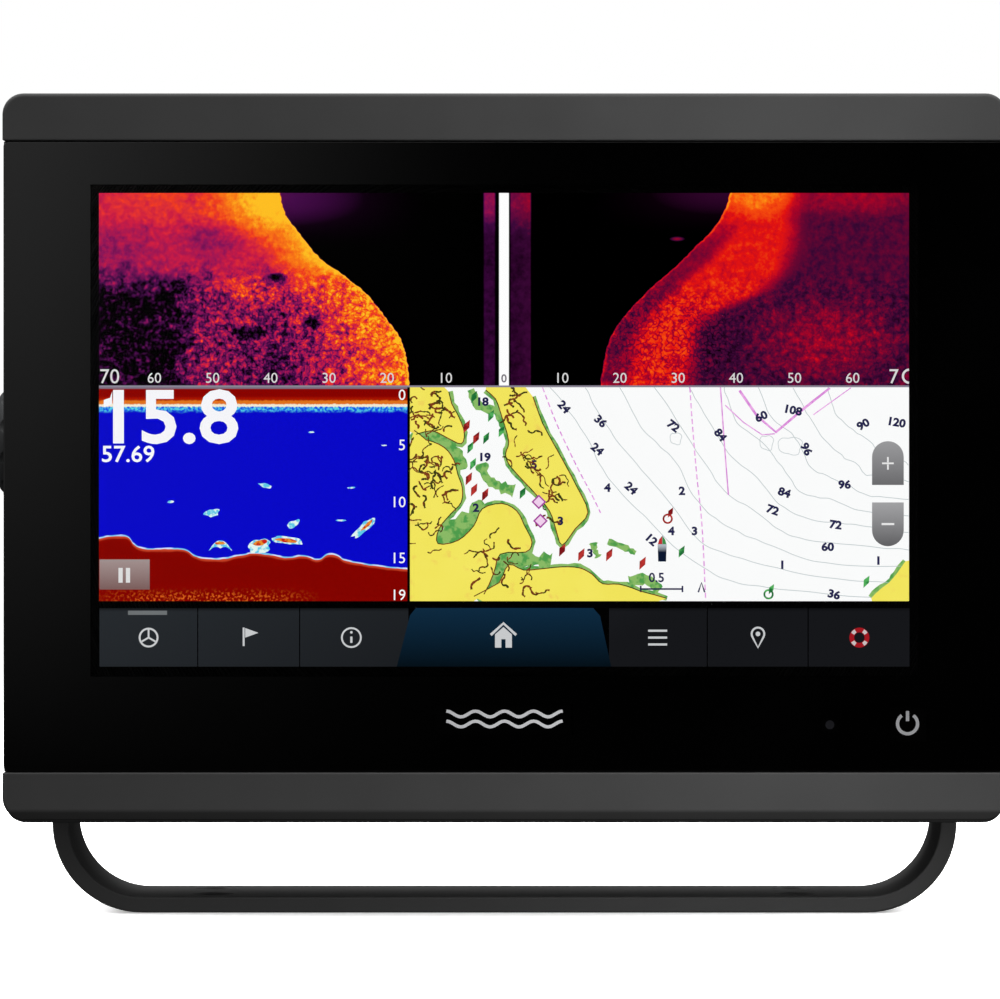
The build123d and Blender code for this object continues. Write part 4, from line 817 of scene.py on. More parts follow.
range_numbers = Sheet("range_numbers", 1)
MIDDLE = 76.6  # the middle of the screen, where the scale is 0
RANGE_STEP = 11.02
RANGE_ROW = 55.0  # height of the middle of the numbers
for step in range(1, 7):
    for side in (-1, 1):
        range_numbers.number(str(10 * step), MIDDLE + side * step * RANGE_STEP, RANGE_ROW, 1.9)
END_ROW, END_HEIGHT = 55.3, 2.7  # the larger numbers at the two ends
range_numbers.number("70", 2.0, END_ROW, END_HEIGHT)
range_numbers.number("7", 150.5, END_ROW, END_HEIGHT)
half_zero = arc((153.5, END_ROW), 1.25, 90, 270, 14)  # the screen's edge cuts this 0 in half
range_numbers.line(clip(half_zero, 0, CHART_RIGHT, 54.0, 56.6), 0.42)
range_numbers.done(lit("number_white", "#d8d8d8"))
range_zero = Sheet("range_zero", 1)
range_zero.number("0", MIDDLE + 0.1, 54.9, 1.5, weight=0.02)
range_zero.done(lit("zero_grey", "#77727a"))


# ---- depth sounder picture

BOTTOM_LINE = [
    (0, 24.4), (4.6, 24.9), (6.5, 23.4), (9.2, 22.4), (15.6, 22.4), (18, 21.2), (21.4, 20.5),
    (26.8, 21.2), (30, 21.6), (36, 20.8), (38.6, 21.1), (41.4, 20.4), (43.6, 21.4), (46.5, 20.3),
    (52, 19.3), (58.4, 18.6),
]


def sonar_picture_finish():
    """Blue water between the red surface clutter and the red bottom."""
    graph = Graph("sounder_echoes")
    u, v = screen_axes(graph)
    fine = graph.noise(0.5)
    streak = graph.noise(1.2, detail=2, stretch=(0.5, 1, 1))
    ripple = (fine - 0.5) * 0.5

    water = graph.mix(fine, "#0404bc", "#0c0cd2")
    top = v + 0.9 * (streak - 0.5)
    near = graph.mix(fine.rise(0.4, 0.65), "#1450e8", "#58d8e4")
    colour = graph.mix(top.rise(48.3, 49.0), water, near)
    colour = graph.mix((v + ripple).rise(49.4, 49.6), colour, "#f2ead2")
    colour = graph.mix((v + ripple).rise(49.9, 50.1), colour, "#e0721c")
    colour = graph.mix((v + ripple).rise(50.5, 50.9), colour, "#a41200")
    colour = graph.mix(v.rise(51.0, 51.6), colour, "#860200")
    colour = graph.mix(v.rise(52.85, 52.95), colour, "#7c6c7c")

    above = v - graph.profile(u, BOTTOM_LINE) + 0.5 * (streak - 0.5)
    bed = graph.mix(fine, "#760200", "#8c0400")
    spark = fine.rise(0.5, 0.62) * (1 - v.rise(13.2, 15.4)) * hump(u, v, (20, 13), 22, 9)
    bed = graph.mix(spark, bed, "#e0641c")
    lip = graph.mix(streak.rise(0.4, 0.6), "#d8e4ff", "#7ac8ea")
    colour = graph.mix(1 - above.rise(0.30, 0.42), colour, lip)
    colour = graph.mix(1 - above.rise(0.05, 0.14), colour, "#c84024")
    colour = graph.mix(1 - above.rise(-0.5, -0.1), colour, bed)
    return glow(graph, colour)


flat("sounder_picture", 0, sonar_picture_finish(), oblong(0, SPLIT_LOW, SONAR_RIGHT, SPLIT_HIGH))


def speckled(name, first, second, grain):
    """Two lit colours scattered in small patches, as echoes are."""
    graph = Graph(name)
    patches = graph.noise(grain).rise(0.42, 0.58)
    return glow(graph, graph.mix(patches, first, second))


def blob(at, wide, tall, turn, seed, points=14, rough=0.22):
    """An uneven oval outline."""
    draw = random.Random(seed)
    outline = []
    for i in range(points):
        angle = math.tau * i / points
        reach = 1 + rough * (draw.random() - 0.5) * 2
        x, y = wide / 2 * reach * math.cos(angle), tall / 2 * reach * math.sin(angle)
        outline.append(turned(at, x, y, turn))
    return smooth(outline, closed=True, steps=2)


def arch(at, wide, tall, thick):
    """The arch that a fish leaves as the boat passes over it."""
    left, right = at[0] - wide / 2, at[0] + wide / 2
    crown = [(left, at[1] - tall), (at[0] - wide / 4, at[1] - tall / 4), at]
    crown += [(at[0] + wide / 4, at[1] - tall / 4), (right, at[1] - tall)]
    upper = smooth(crown)
    lower = [(u, v - thick * (1 - abs(u - at[0]) / (wide * 0.52))) for u, v in upper]
    return upper + lower[::-1]


# Each echo's place, width, height and lean. An outline's seed is its place in the list.
ECHOES = [
    ((21.4, 29.4), 3.0, 1.4, 10), ((36.8, 27.3), 2.4, 1.3, 30), ((31.5, 34.6), 2.6, 0.8, -15),
    ((47.9, 34.2), 1.5, 0.35, 4), ((13.6, 31.5), 1.2, 0.45, 0), ((45.8, 28.0), 1.8, 0.35, 0),
    ((40.2, 44.7), 1.2, 0.35, 5), ((54.0, 42.2), 1.0, 0.25, 0), ((50.2, 26.6), 5.6, 1.6, 42),
    ((30.4, 23.1), 4.4, 2.6, 20), ((35.6, 24.2), 5.8, 1.5, -8),
]
ECHO_CORES = [
    ((30.6, 23.8), 2.6, 1.1, 10), ((35.4, 24.2), 4.4, 0.8, -8), ((50.8, 27.1), 3.0, 0.6, 42),
    ((23.0, 23.7), 1.8, 0.6, 0),
]
outlines = [blob(*echo, seed) for seed, echo in enumerate(ECHOES + ECHO_CORES, 1)]
fish_arch = arch((23.0, 24.2), 4.4, 1.9, 1.5)
echo_pale = speckled("echo_pale", "#5cc8e8", "#e4f6f0", 0.9)
flat("fish_echoes", 1, echo_pale, fish_arch, *outlines[: len(ECHOES)])
echo_strong = speckled("echo_strong", "#c81c18", "#e8902c", 0.8)
flat("fish_echo_cores", 2, echo_strong, *outlines[len(ECHOES) :])

depth_numbers = Sheet("depth_numbers", 1)
for text, at_u, at_v in [
    ("0", 57.4, 51.8), ("5", 57.4, 42.3), ("10", 56.7, 31.5), ("15", 56.7, 20.9), ("19", 56.7, 13.9),
]:
    depth_numbers.number(text, at_u, at_v, 2.0)
depth_numbers.number("15.8", 13.2, 47.7, 9.8, weight=0.016, stretch=1.1)
flag_of_one = [(0.9, 49.4), (2.5, 50.0), (2.5, 52.4), (2.1, 51.2), (0.9, 50.8)]
depth_numbers.shape(flag_of_one)
depth_numbers.number("57.69", 5.5, 40.6, 3.0, weight=0.012, stretch=1.06)
depth_numbers.done(lit("reading_white", "#f6f6fa", 0.03))

PAUSE_LOW, PAUSE_HIGH = 14.9, 20.6
pause_grey = lit_blend("pause_key", "#7a5c5a", "#a2908e", PAUSE_LOW, PAUSE_HIGH)
flat("pause_key", 1, pause_grey, oblong(0.1, PAUSE_LOW, 9.6, PAUSE_HIGH))
pause_bars = [oblong(left, 16.2, left + 0.8, 19.0) for left in (3.7, 5.1)]
flat("pause_bars", 2, lit("bar_white", "#dcdcdc", 0.05), *pause_bars)


# ---- chart picture

CHART_FRAME = (CHART_LEFT, CHART_RIGHT, SPLIT_LOW, SPLIT_HIGH)


def chart_sheet(name, layer):
    """A sheet whose shapes stop at the chart's frame."""
    return Sheet(name, layer, within=CHART_FRAME)


def inner_runs(outline):
    """The stretches of a closed outline that aren't on the chart's frame."""
    runs = [[]]
    for u, v in outline + outline[:1]:
        if CHART_LEFT < u < CHART_RIGHT and SPLIT_LOW < v < SPLIT_HIGH:
            runs[-1].append((u, v))
        elif runs[-1]:
            runs.append([])
    return [run for run in runs if len(run) > 1]


whole_chart = oblong(CHART_LEFT, SPLIT_LOW, CHART_RIGHT, SPLIT_HIGH)
flat("chart_sea", 0, lit("sea_white", "#fbfcfc", 0.02), whole_chart)

SPIT = [
    (73.3, 53.2), (80.8, 53.2), (84.0, 46.4), (87.4, 40.2), (90.5, 34.4), (92.6, 29.5),
    (90.2, 26.4), (87.7, 23.3), (86.5, 26.4), (85.3, 29.8), (82.5, 33.2), (79.4, 36.5),
    (77.6, 38.7), (77.0, 40.6), (77.6, 43.0), (76.3, 47.6), (75.1, 51.0),
]
NORTH_SHORE = [
    (58.9, 53.2), (65.4, 53.2), (66.8, 50.1), (68.2, 47.5), (69.2, 44.6), (68.6, 42.5),
    (66.0, 43.6), (63.0, 45.0), (58.9, 44.8),
]
WEST_SHORE = [
    (58.9, 42.6), (62.0, 43.2), (65.4, 41.8), (67.2, 39.4), (68.0, 36.6), (68.8, 34.2),
    (68.6, 31.4), (66.6, 29.2), (64.4, 26.4), (64.2, 23.6), (68.0, 24.2), (71.0, 27.0),
    (72.6, 30.2), (76.3, 31.2), (79.1, 29.8), (80.6, 27.0), (82.0, 23.9), (80.8, 22.0),
    (76.0, 21.6), (74.6, 17.6), (71.0, 12.7), (58.9, 12.7),
]
SOUTH_SHORE = [
    (72.6, 12.7), (75.8, 16.2), (77.6, 19.6), (80.4, 18.6), (83.6, 18.8), (87.6, 19.2),
    (91.0, 19.0), (93.4, 17.8), (95.4, 16.0), (98.6, 15.9), (102.5, 14.6), (106.0, 12.7),
]
EAST_CORNER = [
    (146.4, 12.7), (147.8, 14.8), (149.6, 16.2), (151.0, 17.8), (153.4, 20.4), (153.4, 12.7),
]
COASTS = [SPIT, NORTH_SHORE, WEST_SHORE, SOUTH_SHORE, EAST_CORNER]
LANDS = [smooth(coast, closed=True, steps=3) for coast in COASTS]


def land_finish():
    """The chart's land colour, with faint patches."""
    graph = Graph("land_yellow")
    patches = graph.noise(2.4, detail=3).rise(0.6, 0.74)
    colour = graph.mix(graph.noise(7), "#efe154", "#f6ea66")
    return glow(graph, graph.mix(patches * 0.4, colour, "#eab45c"))


def shallow_finish():
    """The green of ground that dries, mottled with a darker green."""
    graph = Graph("shallow_green")
    patches = graph.noise(1.4).rise(0.45, 0.62)
    return glow(graph, graph.mix(patches, "#8aba66", "#4f9c4c"))


draw = random.Random(7)
shallows = chart_sheet("chart_shallows", 1)
for outline in LANDS:
    for run in inner_runs(outline):
        shallows.line(run, [draw.uniform(0.9, 1.7) for _ in run])
CREEKS = [
    ([(58.9, 43.6), (62.4, 44.0), (65.6, 42.8), (68.0, 40.6), (68.9, 37.6)], 1.7),
    ([(64.4, 24.6), (67.0, 26.0), (70.6, 28.6), (73.4, 30.6)], 3.6),
    ([(71.4, 12.9), (74.6, 15.2), (75.6, 18.8), (79.0, 20.4), (82.6, 20.4), (85.6, 20.0)], 3.0),
    ([(72.4, 38.8), (73.4, 36.0), (76.0, 34.4), (78.6, 33.6)], 2.2),
    ([(93.6, 23.8), (93.9, 22.4), (94.6, 21.0)], 1.4),
    ([(96.4, 24.0), (99.4, 22.9), (101.6, 21.8)], 1.3),
    ([(100.4, 16.4), (103.6, 16.8), (106.2, 14.8)], 2.0),
    ([(70.4, 52.8), (72.0, 49.6), (75.0, 48.6), (76.4, 45.6)], 1.5),
    ([(85.4, 27.6), (87.2, 27.6), (88.4, 25.6)], 2.4),
    ([(60.4, 33.4), (62.6, 32.0), (64.8, 33.0)], 1.6),
]
for points, width in CREEKS:
    course = smooth(points)
    shallows.line(course, [width * draw.uniform(0.45, 1.3) for _ in course])
shallows.done(shallow_finish())

land = chart_sheet("chart_land", 2)
for outline in LANDS:
    land.shape(outline)
land.done(land_finish())


def wander(draw, start, steps, stride, swing):
    """A small crooked line, such as a ditch or a creek on the land."""
    points = [start]
    heading = draw.uniform(0, math.tau)
    for _ in range(steps):
        heading += draw.uniform(-swing, swing)
        u, v = points[-1]
        points.append((u + stride * math.cos(heading), v + stride * math.sin(heading)))
    return smooth(points, steps=3)


# Where the ditches start, and how many there are.
MARSHES = [
    (60.2, 51.2, 5), (62.0, 48.6, 6), (64.2, 50.4, 5), (60.6, 46.6, 5), (65.4, 46.8, 4),
    (64.6, 44.6, 4), (59.8, 40.6, 7), (62.2, 38.6, 7), (60.4, 36.2, 6), (64.4, 36.2, 6),
    (61.8, 33.4, 6), (65.4, 31.6, 5), (65.2, 38.8, 5), (60.6, 29.0, 4), (63.0, 26.8, 4),
    (61.2, 22.6, 2), (72.8, 23.6, 3), (73.6, 21.6, 4), (76.0, 19.4, 3), (73.0, 18.4, 3),
    (80.4, 16.6, 4), (82.4, 15.0, 3), (79.0, 21.2, 3), (78.2, 51.0, 5), (79.4, 48.4, 4),
    (80.6, 44.4, 3), (82.4, 40.6, 4), (83.6, 37.0, 5), (85.6, 34.8, 6), (87.0, 32.6, 5),
    (86.0, 29.4, 3), (79.6, 39.2, 4),
]
ditches = chart_sheet("chart_ditches", 3)
SPREAD = 1.6
for u, v, count in MARSHES:
    for _ in range(count):
        nearby = (u + draw.uniform(-SPREAD, SPREAD), v + draw.uniform(-SPREAD, SPREAD))
        course = wander(draw, nearby, draw.randint(3, 6), 0.6, 1.2)
        thick = draw.uniform(0.2, 0.42)
        ditches.line(course, [thick * draw.uniform(0.6, 1.3) for _ in course])
for outline in LANDS[:-1]:  # the corner in the east has no drawn edge
    for run in inner_runs(outline):
        ditches.line(run, 0.2)
ditches.done(speckled("ditch_brown", "#3a3a16", "#7c3c1c", 1.6))

# The depth contours are spread evenly from one near the coast to one far out.
COAST_CONTOUR = [
    (85.5, 53.2), (91, 45), (97, 36.5), (103, 28.5), (110, 22), (120, 17), (134, 14), (153.4, 12.8),
]
DEEP_CONTOUR = [
    (138, 53.2), (139.5, 48.5), (143, 45.5), (146, 42), (148, 40.5), (149.6, 40), (151, 39.4),
    (153.4, 38.5),
]
contours = chart_sheet("chart_contours", 1)
CONTOUR_COUNT = 9
WOBBLE = 0.12
for k in range(CONTOUR_COUNT):
    share = k / (CONTOUR_COUNT - 1)
    points = []
    for i, (near, far) in enumerate(zip(COAST_CONTOUR, DEEP_CONTOUR)):
        on_frame = i in (0, len(COAST_CONTOUR) - 1)
        sway = 0 if on_frame else 0.5 * math.sin(2.3 * i + 1.7 * k)
        u = near[0] + (far[0] - near[0]) * share + sway
        v = near[1] + (far[1] - near[1]) * share + sway
        points.append((u, v))
    course = []
    for u, v in smooth(points):
        course.append((u + draw.uniform(-WOBBLE, WOBBLE), v + draw.uniform(-WOBBLE, WOBBLE)))
    contours.line(smooth(course, steps=3), 0.14)
BANK_SEED = 21
for at, wide, tall in [
    ((126.5, 42.6), 2.6, 3.0), ((131.0, 42.0), 4.6, 3.6), ((109.3, 43.4), 2.2, 2.4),
]:
    contours.line(blob(at, wide, tall, 0, BANK_SEED), 0.12, closed=True)
contours.done(lit("contour_grey", "#bcc6c8", 0.05))

tracks = chart_sheet("chart_tracks", 2)
DASH, GAP = 1.0, 0.5
OFFSHORE = [(84.0, 53.2), (86.8, 46.0), (90.4, 38.4), (93.3, 32.9), (95.0, 29.4)]
MERIDIAN = [(111.9, 53.2), (112.4, 46.0), (113.2, 36.6), (114.2, 27.0), (114.9, 12.8)]
for route in (OFFSHORE, MERIDIAN):
    for piece in dashes(smooth(route), DASH, GAP):
        tracks.line(piece, 0.24)
for route, width in [
    ([(117.7, 53.2), (118.4, 43.0), (119.2, 32.8)], 0.26),
    ([(121.3, 52.6), (124.6, 47.8), (128.2, 44.7), (133.4, 49.1), (138.4, 53.1)], 0.5),
    ([(118.6, 49.8), (122.0, 46.6), (125.6, 44.2), (128.0, 44.4)], 0.22),
    ([(135.3, 48.0), (142.4, 53.1)], 0.2),
]:
    tracks.line(route, width)
tracks.done(speckled("track_magenta", "#eaa8e6", "#d888d8", 1.0))

soundings = Sheet("chart_soundings", 3)
for text, at_u, at_v, turn in [
    ("18", 72.6, 50.5, 0), ("19", 73.0, 40.0, 0), ("24", 88.1, 49.5, -48), ("36", 95.0, 46.8, -42),
    ("24", 94.4, 41.5, -40), ("24", 100.8, 34.1, -42), ("12", 104.6, 24.4, -42),
    ("72", 108.8, 45.9, -38), ("84", 117.7, 44.2, -50), ("60", 125.4, 47.7, 25),
    ("108", 131.4, 48.9, -12), ("90", 144.7, 46.2, 30), ("120", 151.0, 46.6, -10),
    ("96", 134.0, 41.5, -62), ("96", 141.2, 34.8, 0), ("84", 129.8, 33.3, -18),
    ("72", 127.6, 30.0, -20), ("72", 139.5, 27.2, -8), ("60", 138.0, 23.0, 0),
    ("36", 139.2, 14.0, -14), ("2", 110.4, 33.6, 0), ("4", 108.4, 26.0, 0), ("3", 112.8, 26.0, 0),
    ("1", 129.4, 19.6, 0), ("1", 147.6, 20.4, 0), ("5", 82.4, 38.6, 0), ("2", 71.4, 30.4, 0),
    ("4", 96.3, 34.2, 0), ("3", 87.4, 27.9, 0), ("3", 93.0, 21.8, 0),
]:
    soundings.number(text, at_u, at_v, 1.45, turn, weight=0.045, stretch=1.12)
SCALE_LEFT, SCALE_RIGHT, SCALE_ROW = 102.6, 110.5, 15.0  # the bar that shows the chart's scale
soundings.number("0.5", 105.6, 17.2, 1.7, weight=0.02)
soundings.line([(SCALE_LEFT, SCALE_ROW), (SCALE_RIGHT, SCALE_ROW)], 0.32)
for end in (SCALE_LEFT, SCALE_RIGHT):
    soundings.line([(end, SCALE_ROW - 0.6), (end, SCALE_ROW + 0.6)], 0.32)
soundings.line([(113.5, 14.4), (114.1, 16.2), (114.7, 14.4)], 0.32)
soundings.done(lit("sounding_navy", "#22224c", 0.2))


def marker(sheet, at, height, lean):
    """A slim leaning buoy mark."""
    tall, wide = height / 2, height / 4.6
    outline = [(0, -tall), (wide, 0), (0.1, tall), (-wide, 0.1)]
    sheet.shape([turned(at, x, y, lean) for x, y in outline])


def buoys(name, places, height, beacon, ring, dark, pale):
    """The marks of one colour, the last of them a beacon on a ring."""
    sheet = Sheet(f"chart_{name}_marks", 4)
    for at in places:
        marker(sheet, at, height, -24)
    marker(sheet, beacon, 2.2, -25)
    sheet.line(arc(ring, 0.8), 0.35, closed=True)
    sheet.done(speckled(f"mark_{name}", dark, pale, 1.2))


RED_BUOYS = [
    (69.6, 45.8), (71.4, 43.6), (70.0, 35.9), (71.0, 33.8), (73.1, 32.9), (87.7, 22.4),
    (91.3, 21.5), (96.6, 21.5), (102.9, 19.9),
]
GREEN_BUOYS = [
    (73.3, 43.6), (70.3, 41.8), (76.2, 44.9), (70.8, 38.7), (80.2, 33.2), (110.3, 22.1),
    (145.3, 16.4), (71.0, 51.4), (74.2, 47.8),
]
buoys("red", RED_BUOYS, 2.8, (108.2, 29.5), (107.7, 28.3), "#7c1418", "#b83430")
buoys("green", GREEN_BUOYS, 2.6, (127.3, 15.0), (126.8, 14.0), "#1e6e36", "#52b05c")

notices = Sheet("chart_notices", 5)
notice_fills = Sheet("chart_notice_fills", 4)
for at in [(83.3, 31.5), (83.6, 27.9)]:
    diamond = arc(at, 1.2, steps=4)
    notice_fills.shape(diamond)
    notices.line(diamond, 0.4, closed=True)
notice_fills.done(lit("notice_pink", "#f2d2ee", 0.1))
notices.done(lit("notice_purple", "#a63c9e", 0.15))

HULL = [
    (105.9, 20.2), (107.4, 20.2), (107.5, 23.4), (107.2, 24.4), (106.7, 25.2), (106.1, 24.4),
    (105.8, 23.4),
]
PORT_BOW = [(105.85, 23.5), (106.65, 23.5), (106.65, 25.0), (106.1, 24.4)]
STARBOARD_BOW = [(106.7, 23.5), (107.45, 23.5), (107.2, 24.4), (106.7, 25.0)]
flat("chart_boat", 4, lit_blend("boat_hull", "#0c1830", "#b0b8c0", 22.0, 23.2), HULL)
flat("chart_boat_bow", 5, lit("bow_red", "#c03030", 0.1), PORT_BOW)
flat("chart_boat_side", 5, lit("bow_green", "#3c8c48", 0.1), STARBOARD_BOW)

KEY_LEFT, KEY_RIGHT = 146.4, 152.4
KEY_MIDDLE = (KEY_LEFT + KEY_RIGHT) / 2
KEY_RADIUS = (KEY_RIGHT - KEY_LEFT) / 2
IN_LOW, IN_ROUND = 34.7, 40.0  # the upper key's flat side and the middle of its round one
OUT_HIGH, OUT_ROUND = 31.4, 26.1
IN_ROW, OUT_ROW = 38.8, 27.3  # heights of the two signs
dome = arc((KEY_MIDDLE, IN_ROUND), KEY_RADIUS, 0, 180, 16)
in_grey = lit_blend("zoom_in_grey", "#6a6a6c", "#9a9a9c", IN_LOW, IN_ROUND + KEY_RADIUS)
flat("zoom_in_key", 4, in_grey, [(KEY_LEFT, IN_LOW), (KEY_RIGHT, IN_LOW)] + dome)
bowl = arc((KEY_MIDDLE, OUT_ROUND), KEY_RADIUS, 180, 360, 16)
out_grey = lit_blend("zoom_out_grey", "#5e5e60", "#a2a2a4", OUT_ROUND - KEY_RADIUS, OUT_HIGH)
flat("zoom_out_key", 4, out_grey, [(KEY_RIGHT, OUT_HIGH), (KEY_LEFT, OUT_HIGH)] + bowl)
key_signs = Sheet("zoom_signs", 5)
key_signs.line([(KEY_MIDDLE - 1.1, IN_ROW), (KEY_MIDDLE + 1.1, IN_ROW)], 0.32)
for low, high in ((-1.2, -0.2), (0.2, 1.2)):
    key_signs.line([(KEY_MIDDLE, IN_ROW + low), (KEY_MIDDLE, IN_ROW + high)], 0.32)
key_signs.line([(KEY_MIDDLE - 1.2, OUT_ROW), (KEY_MIDDLE + 1.2, OUT_ROW)], 0.4)
key_signs.done(lit("sign_white", "#e8e8e8", 0.04))


# ---- menu bar

MENU_KEYS = [(0.1, 18.6), (18.8, 37.9), (38.1, 58.6), (96.6, 115.1), (115.3, 134.2), (134.4, 153.5)]
MENU_LOW = 0.3


def menu_finish():
    """Dark keys, a little lighter towards the left and the top."""
    graph = Graph("menu_dark")
    u, v = screen_axes(graph)
    grain = graph.noise(0.5) - 0.5
    light = 0.8 - u * (1 / 110) + 0.2 * (v * (1 / MENU_TOP)) + 0.1 * grain
    colour = graph.mix(light.clamped(), "#16171a", "#262a2e")
    return glow(graph, graph.mix(v.rise(10.6, 11.6), colour, "#0b0c0e"))


keys = [oblong(left, MENU_LOW, right, MENU_TOP - 0.2) for left, right in MENU_KEYS]
flat("menu_keys", 0, menu_finish(), *keys)
tab = [(56.4, MENU_LOW), (97.0, MENU_LOW), (94.9, 9.9), (93.6, 11.4), (60.0, 11.4), (58.9, 10.0)]
flat("home_tab", 1, lit_blend("tab_blue", "#051018", "#0e2a40", MENU_LOW, 11.4), tab)

HELM, INFO, PIN, RING = (9.4, 5.8), (47.8, 5.8), (124.8, 6.5), (144.0, 5.8)
POLE = 27.4  # the flag's pole
ROOF = [(-2.4, 6.3), (0, 8.5), (2.4, 6.3)]  # the house, measured from the screen's middle
WALLS = [
    (-1.6, 3.9), (-0.4, 3.9), (-0.4, 5.5), (0.4, 5.5), (0.4, 3.9), (1.6, 3.9), (1.6, 6.4),
    (0, 7.8), (-1.6, 6.4),
]
icons = Sheet("menu_icons", 2)
icons.line(arc(HELM, 1.7), 0.36, closed=True)
for spoke in range(3):
    angle = 90 + 120 * spoke
    icons.line([HELM, turned(HELM, 1.5, 0, angle)], 0.34)
icons.line([(POLE, 4.2), (POLE, 7.7)], 0.36)
icons.shape([(POLE + 0.3, 5.8), (POLE + 2.8, 6.7), (POLE + 0.3, 7.6)])
icons.line(arc(INFO, 1.8), 0.34, closed=True)
icons.line([(INFO[0], 4.8), (INFO[0], 6.0)], 0.42)
icons.shape(arc((INFO[0], 6.8), 0.26, steps=10))
icons.line([(MIDDLE + u, v) for u, v in ROOF], 0.5)
icons.shape([(MIDDLE + u, v) for u, v in WALLS])
for row in range(3):
    icons.box(104.0, 4.3 + 1.3 * row, 107.6, 4.7 + 1.3 * row)
icons.line(arc(PIN, 1.2, -30, 210, 14) + [(PIN[0], 3.9)], 0.36, closed=True)
icons.shape(arc(PIN, 0.45, steps=12))
icons.done(lit("icon_white", "#c8cacc", 0.05))
flat("menu_marker", 2, lit("marker_grey", "#6c7072", 0.06), oblong(5.5, 10.1, 12.9, 10.9))

RING_RADIUS = 1.45
alarm = Sheet("alarm_ring", 2)
alarm.line(arc(RING, RING_RADIUS), 0.9, closed=True)
alarm.done(lit("alarm_red", "#a01820", 0.15))
alarm_marks = Sheet("alarm_ring_bands", 3)
for start in (30, 120, 210, 300):
    alarm_marks.line(arc(RING, RING_RADIUS, start, start + 30, 4), 0.7)
alarm_marks.done(lit("band_white", "#c8c0c0", 0.05))


# ---- marks printed behind the glass

PRINT_BASE = glass_high.y - 0.02 * MM  # just inside the glass's back face
INK_MARGIN = 0.4 * MM  # clear rim round the black ink


def on_unit(x, z):
    """Turns a place on the unit into the flat pieces' own millimetres."""
    return (x - SCREEN_LEFT) / MM, (z - SCREEN_BOTTOM) / MM


def print_finish(name, tone):
    """Matt printed ink with slightly uneven cover."""
    graph = Graph(name)
    cover = graph.noise(0.6, detail=3)
    colour = paint(tone)
    inputs = {
        "Base Color": graph.mix(cover, shade(colour, 0.85), shade(colour, 1.15)),
        "Roughness": 0.5 + 0.2 * cover,
        "Specular IOR Level": 0.0,
        "Normal": graph.bump(cover, 0.004),
    }
    return graph.surface(inputs)


ink = Sheet("border_ink", 0, PRINT_BASE)
ink_left, ink_low = on_unit(glass_low.x + INK_MARGIN, glass_low.z + INK_MARGIN)
ink_right, ink_high = on_unit(glass_high.x - INK_MARGIN, glass_high.z - INK_MARGIN)
ink.box(ink_left, ink_low, ink_right, -INK_GAP)
ink.box(ink_left, TALL + INK_GAP, ink_right, ink_high)
ink.box(ink_left, -INK_GAP, -INK_GAP, TALL + INK_GAP)
ink.box(WIDE + INK_GAP, -INK_GAP, ink_right, TALL + INK_GAP)
ink.done(print_finish("border_ink", "#010101"), "cover_glass")

EMBLEM_WIDE = 22
WAVES = 4
WAVE_HEIGHT = 0.55
WAVE_STEPS = 48
emblem = Sheet("emblem_waves", 1, PRINT_BASE)
emblem_u, emblem_v = on_unit(*EMBLEM_AT)
for row in (-0.95, 0.95):
    wave = []
    for i in range(WAVE_STEPS + 1):
        along = i / WAVE_STEPS
        lift = WAVE_HEIGHT * math.cos(along * WAVES * math.tau)
        wave.append((emblem_u + EMBLEM_WIDE * (along - 0.5), emblem_v + row + lift))
    emblem.line(wave, 0.6)
emblem.done(print_finish("emblem_grey", "#8c8c8e"), "cover_glass")

power = Sheet("power_symbol", 1, PRINT_BASE)
power_u, power_v = on_unit(*POWER_AT)
power.line(arc((power_u, power_v), 1.9, 125, 415, 28), 0.62)
power.line([(power_u, power_v + 0.5), (power_u, power_v + 2.4)], 0.62)
power.done(print_finish("power_grey", "#626264"), "cover_glass")

lens = Sheet("sensor_window", 1, PRINT_BASE)
lens.shape(arc(on_unit(*SENSOR_AT), 0.85))
lens.done(print_finish("sensor_tint", "#0e0e10"), "cover_glass")


# ---- studio


def studio_world():
    """White light all round for matt surfaces, and a soft lamp at the upper left to mirror."""
    graph = Graph("studio", "worlds")
    x, y, z = graph.axes(graph.add("TexCoord", {}, "Generated"))
    ahead = 1 - y.rise(-0.9, -0.6)  # towards the viewer
    across = ((0.0066 - x) * (1 / 0.0756)).clamped().power(1.7)
    upward = ((z + 0.05) * (1 / 0.0974)).clamped()
    lamp = 0.507 * across * upward * (0.75 + 0.25 * upward)
    front = lamp + 0.2 * x.size().rise(0.1, 0.5) + 0.9 * z.rise(0.2, 0.7)
    behind = y.rise(0.0, 0.5) * (1 - z.rise(0.5, 0.85))
    around = (0.14 + 0.2 * z.rise(-0.3, 0.1) + 1.2 * z.rise(0.3, 0.8)) * (1 - 0.95 * behind)
    mirrored = ahead * front + (1 - ahead) * around
    soft = (0.16 + 0.38 * z.rise(-0.1, 0.1)) * (1 - 0.4 * behind) + 0.9 * z.rise(0.25, 0.8)
    camera_ray = Value(graph, graph.add("LightPath", {}, "Is Camera Ray"))
    glossy = Value(graph, graph.add("LightPath", {}, "Is Glossy Ray"))
    strength = glossy * mirrored + (1 - glossy) * soft
    strength = strength + camera_ray * (1.0 - strength)
    light = graph.add("Background", {"Color": (1, 1, 1, 1), "Strength": strength})
    world = graph.output(light, "World")
    world.cycles.sampling_method = "NONE"
    scene.world = world


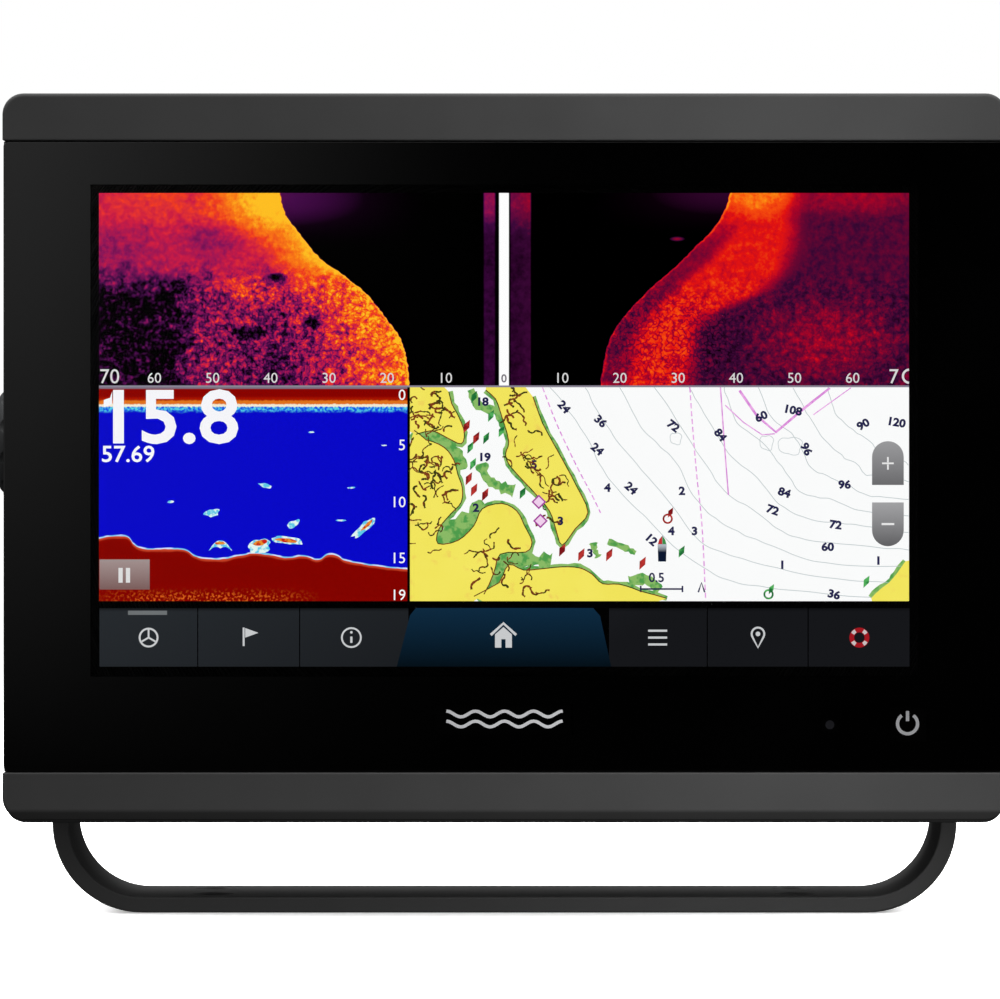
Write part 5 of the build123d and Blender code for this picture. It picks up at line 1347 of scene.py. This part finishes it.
def studio_floor():
    """A wide pale floor at the height of the bail's foot."""
    graph = Graph("floor_pale")
    cloud = graph.noise(400)
    colour = graph.mix(cloud, (0.97, 0.97, 0.97, 1), (0.99, 0.99, 0.99, 1))
    matt = graph.add("BsdfDiffuse", {"Color": colour})
    lift = graph.add("Emission", {"Color": (1, 1, 1, 1), "Strength": 0.35})
    clear = graph.add("BsdfTransparent", {})
    below = graph.add("NewGeometry", {}, "Backfacing")
    pale = graph.add("AddShader", [matt, lift])
    material = graph.output(graph.add("MixShader", [below, pale, clear]))
    mesh = bpy.data.meshes.new("floor")
    reach = 30.0
    level = -0.1 * MM  # just under the foot, so that the two faces don't coincide
    corners = [(-reach, -reach, level), (reach, -reach, level)]
    corners += [(reach, reach, level), (-reach, reach, level)]
    mesh.from_pydata(corners, [], [(0, 1, 2, 3)])
    mesh.materials.append(material)
    floor = put("floor", mesh)
    floor.visible_glossy = False
    floor.visible_diffuse = False
    floor.visible_shadow = False
    floor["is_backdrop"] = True


def soft_lamp(name, place, target, wide, tall, power):
    """A lamp that lights the display but isn't mirrored in it."""
    light = bpy.data.lights.new(name, "AREA")
    light.shape = "RECTANGLE"
    light.energy = power
    light.size = wide
    light.size_y = tall
    lamp = put(name, light)
    lamp.location = place
    lamp.rotation_euler = (Vector(target) - Vector(place)).to_track_quat("-Z", "Y").to_euler()
    lamp.visible_glossy = False
    lamp.visible_camera = False


def camera(place, focal, shift):
    """A long lens that looks straight at the screen."""
    lens = bpy.data.cameras.new("camera")
    lens.lens = focal
    lens.shift_x, lens.shift_y = shift
    view = put("camera", lens)
    view.location = place
    view.rotation_euler = (math.radians(90), 0, 0)
    scene.camera = view


studio_world()
studio_floor()
soft_lamp("key_lamp", (0.060, -0.165, 0.165), (0.060, 0, 0.165), 0.04, 0.5, 0.88)
soft_lamp("rear_lamp", (-0.4, 0.33, 0.85), (0, 0.02, 0.09), 0.4, 0.4, 24.0)
for hand, side in (("left", -1), ("right", 1)):
    soft_lamp(hand + "_lamp", (side * 0.8, 0.2, 0.5), (0, 0, 0.08), 0.4, 0.4, 8.0)
camera((0, -1.34, 0.084), 247.4, (-0.0045, -0.0235))
scene.view_settings.view_transform = "Standard"
scene.cycles.transparent_max_bounces = 24

low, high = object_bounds()
